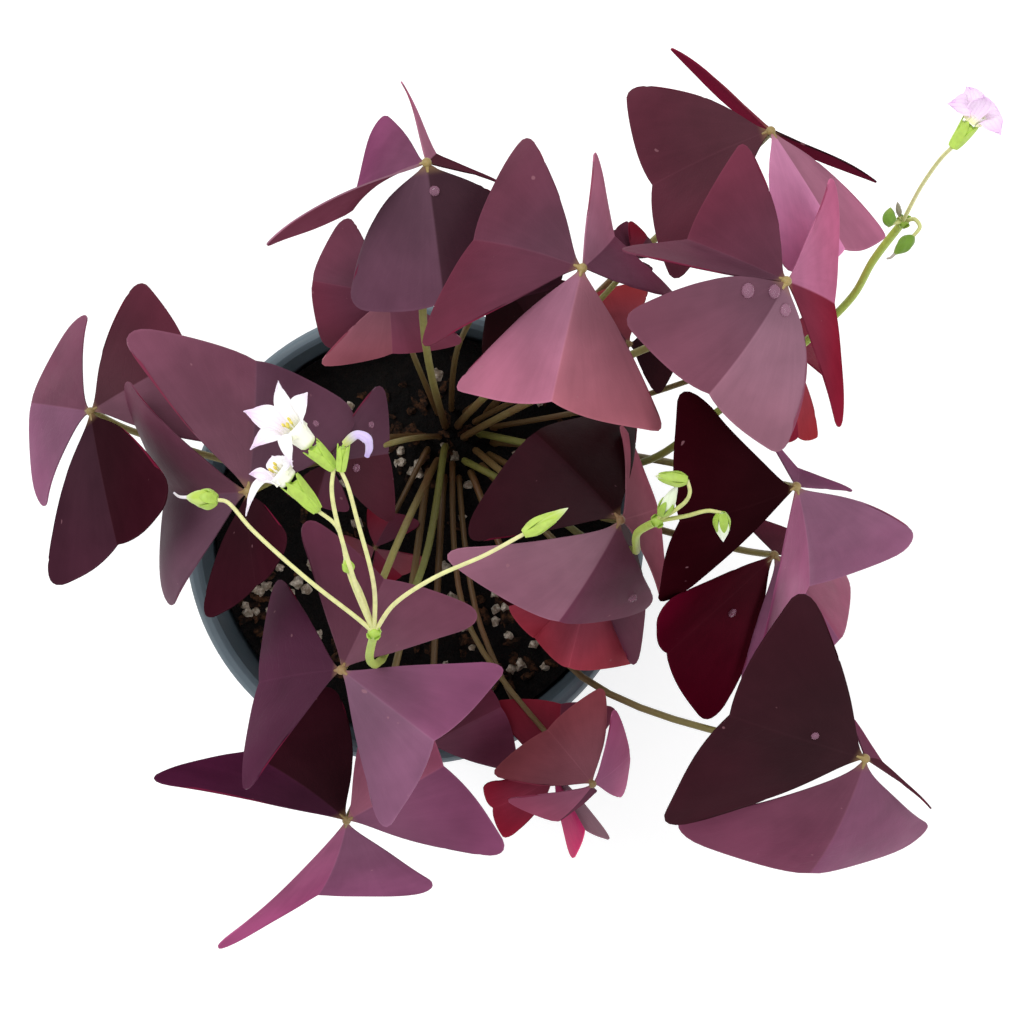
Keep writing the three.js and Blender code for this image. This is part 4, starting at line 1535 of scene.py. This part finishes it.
@dataclass(frozen=True)
class Pedicel:
    """A flower's own stem: the points that it passes from the junction, and what is at its end.

    What it carries reaches from the stem's end to its top. A style longer than 0 stands out of that top.
    """

    path: tuple[Point, ...]
    top: Point
    width: float
    end: End = End.CLOSED
    tint: Tint = Tint.LIME
    cover: float = 0.66
    style: float = 0.0
    sepals: int = 5
    sepal_width: float = 0.29
    sepal_thickness: float = 0.2
    sepal_lift: float = 0.1
    foot: float = 0.6
    plump: float = 0.78
    groove: float = 0.07
    twist: float = 2.2
    flare: float = 0.8
    rounding: float = 0.14

    def axis(self) -> tuple[Vector, Vector, float]:
        """Where the stem ends, the way that its bud or calyx points, and how long that is."""
        end = Vector(self.path[-1])
        way = Vector(self.top) - end
        return end, way.normalized(), way.length

    def closed_shape(self, share: float, angle: float) -> float:
        """Radius of a closed bud: plump low down, pointed at the top, with the grooves of its folded petals.

        Args:
            share: Place along it, 0 to 1.
            angle: Place around it.

        Returns:
            The radius in millimetres.
        """
        swell = math.sin(math.pi * share**self.plump) ** 0.85 if 0 < share < 1 else 0.0
        groove = 1 - self.groove * math.cos(self.sepals * (angle + self.twist * share))
        return 0.5 * self.width * swell * groove

    def cone(self, share: float) -> float:
        """Radius of the green cup at a share of its length, before its ends are rounded."""
        return self.foot + (0.5 * self.width - self.foot) * share**self.flare

    def calyx_shape(self, share: float, angle: float) -> float:
        """Radius of the green cup under an open flower.

        Args:
            share: Place along it, 0 to 1.
            angle: Place around it.

        Returns:
            The radius in millimetres.
        """
        turned = max(0.0, abs(2 * share - 1) - (1 - self.rounding)) / self.rounding
        ends = math.sqrt(max(0.0, 1 - turned**2))
        return self.cone(share) * ends * (1 - 0.05 * math.cos(self.sepals * angle))

    def sepal(self, turn: float) -> bpy.types.Object:
        """One sepal, a narrow pointed scale that hugs the bud or the flower's tube.

        Args:
            turn: Where it is around the axis.

        Returns:
            The sepal.
        """
        end, axis, length = self.axis()
        out = axis.orthogonal().normalized()
        out.rotate(Quaternion(axis, turn))
        across = axis.cross(out)
        calyx = self.end is End.CALYX
        reach = length * (1.12 if calyx else self.cover)

        def place(u: float, v: float) -> Vector:
            """The place on the sepal, just off the bud or the tube.

            Args:
                u: Place across it, -1 to 1.
                v: Place along it, 0 to 1.

            Returns:
                The place in millimetres.
            """
            width = self.sepal_width * self.width * math.sin(math.pi * min(1.0, 0.2 + 0.8 * v)) ** 0.7
            share = v * reach / length
            lift = self.cone(share) if calyx else self.closed_shape(min(0.95, 0.06 + 0.94 * share), 0.0)
            lift += self.sepal_lift
            return end + axis * reach * v + out * (lift - 0.16 * u * u * width) + across * width * u

        made = sheet(place, 6, 12)
        thicken(made, self.sepal_thickness)
        return made

    def tip(self) -> list[bpy.types.Object]:
        """The dry style that stands out of the top, if there is one."""
        if not self.style:
            return []
        _, axis, _ = self.axis()
        top = Vector(self.top)
        side = axis.cross(UP).normalized()
        end = top + axis * self.style + side * 0.3 * self.style
        way = catmull([top - axis * 0.6, top + axis * 0.5 * self.style, end], 8)
        made = tube(way, lambda share: 0.34 - 0.16 * share, 8)
        Bench.dress(made, finish(DRY))
        return [made]

    def build(self, junction: Vector, crown: Crown) -> list[bpy.types.Object]:
        """Makes the stem with its bud or calyx.

        Args:
            junction: Where the umbel's pedicels part.
            crown: The stems' thicknesses.

        Returns:
            The parts, each with its finish.
        """
        end, axis, length = self.axis()
        points = catmull([junction, *(Vector(point) for point in self.path)], 8 * len(self.path) + 4)
        stem = tube(points, lambda share: crown.pedicel * (1.15 - 0.2 * share), 8)
        Bench.dress(stem, finish(PEDICEL))
        if self.end is End.CALYX:
            core = pod(end + axis * 0.47 * length, axis, self.calyx_shape, 1.06 * length)
            Bench.dress(core, finish(CALYX))
        else:
            core = pod(end + axis * 0.48 * length, axis, self.closed_shape, 1.04 * length)
            Bench.dress(core, finish(PetalFinish(f"bud {self.tint.name.lower()}", *self.tint.value)))
        green = self.tint in (Tint.GREEN, Tint.DRY)
        sepals = [] if green else [self.sepal(2 * math.pi * k / self.sepals) for k in range(self.sepals)]
        for sepal in sepals:
            Bench.dress(sepal, finish(CALYX))
        return [stem, core, *sepals, *self.tip()]


@dataclass(frozen=True)
class Umbel:
    """A flower stalk: its root, the points that it passes, the junction and the pedicels."""

    name: str
    root: tuple[float, float]
    via: tuple[Point, ...]
    junction: Point
    pedicels: tuple[Pedicel, ...]
    bracts: int = 4
    knob: float = 1.25
    crown: Crown = Crown()

    def knot(self) -> list[bpy.types.Object]:
        """The swollen junction with its few small bracts."""
        junction = Vector(self.junction)
        parts = [pod(junction, UP, ball(self.knob), 2.9)]
        for k in range(self.bracts):
            turn = 2 * math.pi * k / self.bracts + 0.6
            out = Vector((math.cos(turn), math.sin(turn), 0.0))
            across = UP.cross(out)

            def place(u: float, v: float, out: Vector = out, across: Vector = across) -> Vector:
                """The place on the bract at u across and v along."""
                width = 0.7 * math.sin(math.pi * min(1.0, 0.15 + 0.85 * v))
                return junction + out * (0.9 + 0.5 * v) + across * width * u + UP * (2.6 * v - 0.8)

            bract = sheet(place, 4, 6)
            thicken(bract, 0.2)
            parts.append(bract)
        for part in parts:
            Bench.dress(part, finish(CALYX))
        return parts

    def build(self) -> bpy.types.Object:
        """Makes the stalk with everything that is green on it."""
        crown = self.crown
        start = crown.start(crown.root(*self.root))
        route = [*start, *(Vector(point) for point in self.via), Vector(self.junction)]

        def radius(share: float) -> float:
            """The radius at a share of the way up."""
            return crown.peduncle_foot + (crown.peduncle_top - crown.peduncle_foot) * share

        stalk = tube(catmull(route, 90), radius)
        Bench.dress(stalk, finish(STALK))
        parts = [stalk, *self.knot()]
        for pedicel in self.pedicels:
            parts.extend(pedicel.build(Vector(self.junction), crown))
        whole = Bench.join(parts, f"{self.name}_stalk")
        Bench.smooth(whole, 55.0)
        return Bench.settle(whole, Slot.STALK, self.name)


class Bloom(Enum):
    """The colours of a petal: at its foot, of its body and at its tip."""

    WHITE = (paint(246, 248, 220), paint(255, 254, 255), paint(244, 226, 248))
    LILAC = (paint(252, 250, 246), paint(252, 240, 252), paint(238, 206, 242))
    PINK = (paint(250, 250, 190), paint(248, 222, 250), paint(240, 200, 244))
    FADED = (paint(190, 200, 110), paint(214, 196, 240), paint(188, 160, 224))


@dataclass(frozen=True)
class Petal:
    """A petal, which rises out of the flower's tube and turns outwards to its tip."""

    tip: Point
    width: float
    bloom: Bloom = Bloom.WHITE
    sharp: float = 0.0
    facing: float = 0.8
    root: float = 1.5
    rise: float = 0.4
    lip: float = 1.6
    waist: float = 0.4
    thickness: float = 0.18
    ruffle: float = 0.14
    rim_share: float = 0.62
    tip_start: float = 0.84
    tip_turn: float = 0.98
    columns: int = 12
    rows: int = 22

    def half_width(self, v: float, rim: float) -> float:
        """Half of the petal's width: its share of the tube's rim at its foot, round or pointed at its tip.

        Args:
            v: Place along it, 0 to 1.
            rim: The tube's radius.

        Returns:
            The half width in millimetres.
        """
        strap = 0.5 * self.width * (self.waist + (1 - self.waist) * math.sin(0.9 * math.pi * v**1.3))
        strap += (self.rim_share * rim - 0.5 * self.width * self.waist) * (1 - v) ** 3
        strap *= 1 - self.sharp * max(0.0, (v - 0.5) / 0.5) ** 1.4
        turned = max(0.0, v - self.tip_start) / (1 - self.tip_start)
        return strap * math.sqrt(max(0.0, 1 - self.tip_turn * turned**2))

    def surface(self, mouth: Vector, way: Vector, rim: float) -> Surface:
        """The petal's middle surface.

        Args:
            mouth: The middle of the tube's mouth.
            way: The way the tube points.
            rim: The tube's radius there.

        Returns:
            What gives its places.
        """
        end = Vector(self.tip)
        reach = end - mouth
        out = (reach - way * reach.dot(way)).normalized()
        rise = way.cross(out)
        level = reach.cross(UP).normalized()
        level *= 1 if level.dot(rise) > 0 else -1
        foot = mouth - way * self.root
        turn = mouth + way * self.rise * reach.length + out * self.lip

        def place(u: float, v: float) -> Vector:
            """The place on the petal, which curves from the tube over the lip to the tip.

            Args:
                u: Place across it, -1 to 1.
                v: Place along it, 0 to 1.

            Returns:
                The place in millimetres.
            """
            across = rise.lerp(level, self.facing * min(1.0, 1.6 * v)).normalized()
            share = v * (1 - 0.12 * u * u * v)
            middle = foot * (1 - share) ** 2 + turn * 2 * share * (1 - share) + end * share**2
            tangent = ((turn - foot) * (1 - share) + (end - turn) * share).normalized()
            normal = tangent.cross(across)
            half = self.half_width(v, rim)
            arch = 0.16 * half * u * u + self.ruffle * v * math.sin(6 * u + 5 * v + 9 * out.x)
            open_ = rim * (1 - v) ** 2 * (0.92 - 0.19 * u * u)
            return middle + out * open_ + across * half * u - normal * arch

        return place

    def build(self, mouth: Vector, way: Vector, rim: float) -> bpy.types.Object:
        """Makes the petal.

        Args:
            mouth: The middle of the tube's mouth.
            way: The way the tube points.
            rim: The tube's radius there.

        Returns:
            The petal with its finish.
        """
        made = sheet(self.surface(mouth, way, rim), self.columns, self.rows)
        thicken(made, self.thickness)
        Bench.dress(made, finish(PetalFinish(f"petal {self.bloom.name.lower()}", *self.bloom.value)))
        return made


@dataclass(frozen=True)
class Corolla:
    """An open flower: a tube that stands in its calyx, its stamens, and the petals that it opens into."""

    name: str
    foot: Point
    mouth: Point
    narrow: float
    wide: float
    petals: tuple[Petal, ...]
    thickness: float = 0.2
    stamen_count: int = 5
    stamen_radius: float = 0.1
    anther_radius: float = 0.25
    anther_length: float = 0.9

    def throat(self) -> tuple[Vector, Vector]:
        """The middle of the tube's mouth, and the way that the tube points."""
        mouth = Vector(self.mouth)
        return mouth, (mouth - Vector(self.foot)).normalized()

    def funnel(self) -> bpy.types.Object:
        """The tube, open at its mouth."""
        foot, mouth = Vector(self.foot), Vector(self.mouth)
        axis = mouth - foot
        side = axis.orthogonal().normalized()
        other = axis.normalized().cross(side)

        def place(u: float, v: float) -> Vector:
            """The place on the tube, which is closed at its foot.

            Args:
                u: Place around it, -1 to 1.
                v: Place along it, 0 to 1.

            Returns:
                The place in millimetres.
            """
            out = (self.narrow + (self.wide - self.narrow) * v) * min(1.0, 8 * v) ** 0.5
            around = side * math.cos(math.pi * u) + other * math.sin(math.pi * u)
            return foot + axis * v + around * (out - 0.5 * self.thickness)

        made = sheet(place, 30, 12)
        Bench.face_outwards(made)
        thicken(made, self.thickness)
        Bench.dress(made, finish(TUBE))
        return made

    def stamens(self) -> list[bpy.types.Object]:
        """The short stamens that stand round in the mouth."""
        mouth, way = self.throat()
        parts = []
        for k in range(self.stamen_count):
            out = way.orthogonal().normalized()
            out.rotate(Quaternion(way, 2 * math.pi * k / self.stamen_count))
            top = mouth + way * (0.8 + 0.5 * (k % 2)) + out * 0.32 * self.wide
            stalk = tube([mouth - way * 1.2 + out * 0.2, top], lambda share: self.stamen_radius, 8)
            Bench.dress(stalk, finish(PEDICEL))
            anther = pod(top, way, ball(self.anther_radius), self.anther_length)
            Bench.dress(anther, finish(ANTHER))
            parts.extend((stalk, anther))
        return parts

    def build(self) -> bpy.types.Object:
        """Makes the flower."""
        parts = [petal.build(*self.throat(), self.wide) for petal in self.petals]
        whole = Bench.join([*parts, self.funnel(), *self.stamens()], f"{self.name}_petals")
        Bench.smooth(whole, 60.0)
        return Bench.settle(whole, Slot.PETAL, self.name)


@dataclass(frozen=True)
class FadedFlower:
    """A flower past its time, rolled up to a soft lilac string."""

    name: str
    points: tuple[Point, ...]
    radius: float = 0.8
    thickness: float = 0.2
    rows: int = 36
    rolled: float = 165.0

    def build(self) -> bpy.types.Object:
        """Makes the string, a strap rolled along its length."""
        route = catmull([Vector(point) for point in self.points], self.rows + 1)

        def place(u: float, v: float) -> Vector:
            """The place on the string, which has soft lumps.

            Args:
                u: Place around it, -1 to 1.
                v: Place along it, 0 to 1.

            Returns:
                The place in millimetres.
            """
            k = min(round(v * self.rows), self.rows - 1)
            tangent = (route[k + 1] - route[k]).normalized()
            side = tangent.cross(UP).normalized()
            top = side.cross(tangent)
            out = self.radius * (0.5 + 0.45 * math.sin(math.pi * min(1.0, 0.1 + v)))
            out *= 1 + 0.1 * math.sin(17 * v)
            angle = math.radians(self.rolled) * u
            return route[round(v * self.rows)] + top * out * math.cos(angle) + side * out * math.sin(angle)

        made = sheet(place, 16, self.rows)
        Bench.face_outwards(made)
        thicken(made, self.thickness)
        made = Bench.join([made], f"{self.name}_petals")
        Bench.smooth(made, 60.0)
        Bench.dress(made, finish(PetalFinish("petal faded", *Bloom.FADED.value)))
        return Bench.settle(made, Slot.PETAL, self.name)


UMBELS = (
    Umbel(
        "umbel_front", (3.4, -120),
        ((4, -5, 120), (-3.2, -25, 154), (-3.3, -25.4, 170), (-3.3, -25, 182), (-3, -22, 199)),
        (-1, -16.5, 213),
        (
            Pedicel(
                ((-4, -13.5, 216.5), (-12.5, -6.5, 219.5), (-23, 2.5, 216.5), (-28, 7.6, 214), (-30, 8, 213)),
                (-36, 8.5, 212.5), 3.4, cover=0.5, style=2.2,
            ),
            Pedicel(
                ((-4, -6.5, 221), (-7, 6, 226.5), (-7.4, 10, 227.5), (-7, 13.5, 228)),
                (-10.5, 17, 229.5), 3.2, End.CALYX,
            ),
            Pedicel(
                ((-2.5, -12.5, 216.5), (-5, -5.5, 219.5), (-7, 3, 221.5), (-10.5, 6, 221.5)),
                (-15, 11, 222), 3.8, End.CALYX,
            ),
            Pedicel(
                ((-0.5, -7.5, 220.5), (-3, 4.5, 227), (-4.5, 10.5, 229), (-5.6, 13, 229.5)),
                (-5, 17, 231), 1.9, End.CALYX,
            ),
            Pedicel(
                ((3, -11, 218), (10.5, -6, 221), (19.5, -2, 222), (26.5, 1.8, 222.5)),
                (34.5, 6.5, 222.5), 2.6,
            ),
            Pedicel(((-3, -9, 218), (-4.8, -5, 220)), (-5.8, -2.5, 220.8), 1.8),
        ),
    ),
    Umbel(
        "umbel_right", (7.4, -60),
        (
            (28, 10, 106), (45, -2.5, 121), (51.6, -2.8, 136),
            (51.7, -2.8, 147), (51.2, -2.4, 158), (50, 1.5, 178),
        ),
        (52.6, 4, 195),
        (
            Pedicel(((53.2, 5.2, 197.5),), (56, 10.8, 201.5), 2.6, tint=Tint.PALE, cover=0.5),
            Pedicel(
                ((55.7, 6.1, 199), (57.7, 7.9, 201), (58.2, 9.7, 203), (57.6, 11.8, 204)),
                (51.5, 12.6, 203.5), 2.6, cover=0.9,
            ),
            Pedicel(
                ((58, 5, 198), (62, 6, 200.5), (64.4, 5.6, 201)),
                (65, 0, 199), 2.9, tint=Tint.PALE, cover=0.62,
            ),
        ),
    ),
    Umbel(
        "umbel_far", (7.4, 5),
        ((30, 22, 108), (53.5, 17, 128), (70, 28, 146), (87, 42, 160), (94.5, 50, 173), (96.5, 56, 186)),
        (99.5, 61.5, 199),
        (
            Pedicel(((97.5, 61, 201.5), (96, 60.2, 202.5)), (96, 63.4, 204.5), 2.6, tint=Tint.GREEN),
            Pedicel(((98.4, 62.2, 201.5),), (97.4, 64.6, 204), 1.1, tint=Tint.DRY),
            Pedicel(
                ((101.2, 61.5, 202), (102, 60, 202.5), (101, 58.4, 201.5)),
                (97.5, 55, 200), 2.8, tint=Tint.GREEN, style=1.4,
            ),
            Pedicel(
                ((99, 62.2, 205), (98.8, 65, 218), (98.9, 67.2, 233), (99.5, 68, 238)),
                (102, 71.5, 240), 3, End.CALYX,
            ),
        ),
    ),
)

COROLLAS = (
    Corolla(
        "corolla_front_upper", (-10.8, 17.3, 229.7), (-14, 20.5, 231), 1.5, 2.4,
        (
            Petal((-21, 16.5, 233), 3.2, Bloom.LILAC, sharp=0.3),
            Petal((-13.5, 13.5, 234), 2.4),
            Petal((-11, 26.5, 233), 3.4),
            Petal((-17, 29, 226), 3.2, sharp=0.5),
            Petal((-23, 23.5, 227), 4.8, Bloom.LILAC, sharp=0.4),
        ),
    ),
    Corolla(
        "corolla_front_lower", (-15.3, 11.3, 222), (-17.5, 13, 222.5), 1.8, 2.3,
        (
            Petal((-23.5, 5, 221), 1.4),
            Petal((-14.5, 14.8, 225), 2.6),
            Petal((-19, 15.8, 219), 3.4),
            Petal((-22.5, 12.5, 224), 2.6, Bloom.LILAC, sharp=0.4),
            Petal((-22, 10.5, 219), 2, Bloom.LILAC, sharp=0.4),
        ),
    ),
    Corolla(
        "corolla_far", (102.2, 71.8, 240.2), (103, 73, 241.2), 1.4, 1.8,
        (
            Petal((97.4, 74.2, 243), 3.8, Bloom.PINK),
            Petal((102, 78.4, 237.5), 3.8, Bloom.PINK),
            Petal((102.8, 74.9, 246), 3.8, Bloom.PINK),
            Petal((107.9, 73.4, 237.5), 3.8, Bloom.PINK),
            Petal((106.4, 69, 243), 3.8, Bloom.PINK),
        ),
    ),
)

FADED = FadedFlower(
    "corolla_front_spent",
    ((-4.8, 17.6, 231.3), (-2.5, 19.2, 232), (-0.8, 18.4, 231.8), (-0.5, 17, 231), (-1, 15.5, 230)),
)


# ---------------------------------------------------------------------------------- studio


@dataclass
class Studio:
    """The plain white floor, the soft light and the camera straight above the plant.

    Each lamp has its place, its size and its power in watts.
    """

    floor_size: float = 6000.0
    camera_place: Point = (24.4, 5.75, 545.0)
    focal_share: float = 1800 / 1024
    sensor: float = 36.0
    sky: float = 0.66
    near: float = 10.0
    lamps: tuple[tuple[Point, float, float], ...] = (
        ((-500.0, 450.0, 1100.0), 700.0, 6.6),
        ((700.0, -300.0, 900.0), 900.0, 3.5),
    )

    def floor(self) -> None:
        """Lays the floor."""
        Bench.clear()
        bpy.ops.mesh.primitive_plane_add(size=self.floor_size * MM)
        floor = bpy.context.object
        floor.name = "studio_floor"
        Bench.dress(floor, finish(FloorFinish()))

    def light(self) -> None:
        """Hangs the soft lamps and brightens the room around."""
        world = bpy.data.worlds.new("studio")
        world.use_nodes = True
        back = world.node_tree.nodes["Background"]
        back.inputs["Color"].default_value = (1.0, 1.0, 1.0, 1.0)
        back.inputs["Strength"].default_value = self.sky
        bpy.context.scene.world = world
        for place, size, power in self.lamps:
            Bench.clear()
            spot = Vector(place) * MM
            turn = (-spot).to_track_quat("-Z", "Y").to_euler()
            bpy.ops.object.light_add(type="AREA", location=spot, rotation=turn)
            lamp = bpy.context.object.data
            lamp.shape = "DISK"
            lamp.size = size * MM
            lamp.energy = power

    def camera(self) -> None:
        """Sets the camera."""
        Bench.clear()
        bpy.ops.object.camera_add(location=Vector(self.camera_place) * MM, rotation=(0.0, 0.0, 0.0))
        camera = bpy.context.object
        camera.data.sensor_width = self.sensor
        camera.data.lens = self.sensor * self.focal_share
        camera.data.clip_start = self.near * MM
        bpy.context.scene.camera = camera

    def build(self) -> None:
        """Makes the studio."""
        self.camera()
        self.floor()
        self.light()
        bpy.context.scene.view_settings.view_transform = "Standard"


def main() -> None:
    """Builds the studio, then every piece of the plant."""
    logging.basicConfig(level=logging.INFO, format="%(name)s: %(message)s")
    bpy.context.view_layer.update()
    Studio().build()
    pot = Pot()
    pot.build()
    SoilBed(pot).build()
    for leaf in LEAVES:
        leaf.blade()
        leaf.petiole()
    for umbel in UMBELS:
        umbel.build()
    for corolla in COROLLAS:
        corolla.build()
    FADED.build()
    water_drops()


if __name__ == "__main__":
    main()
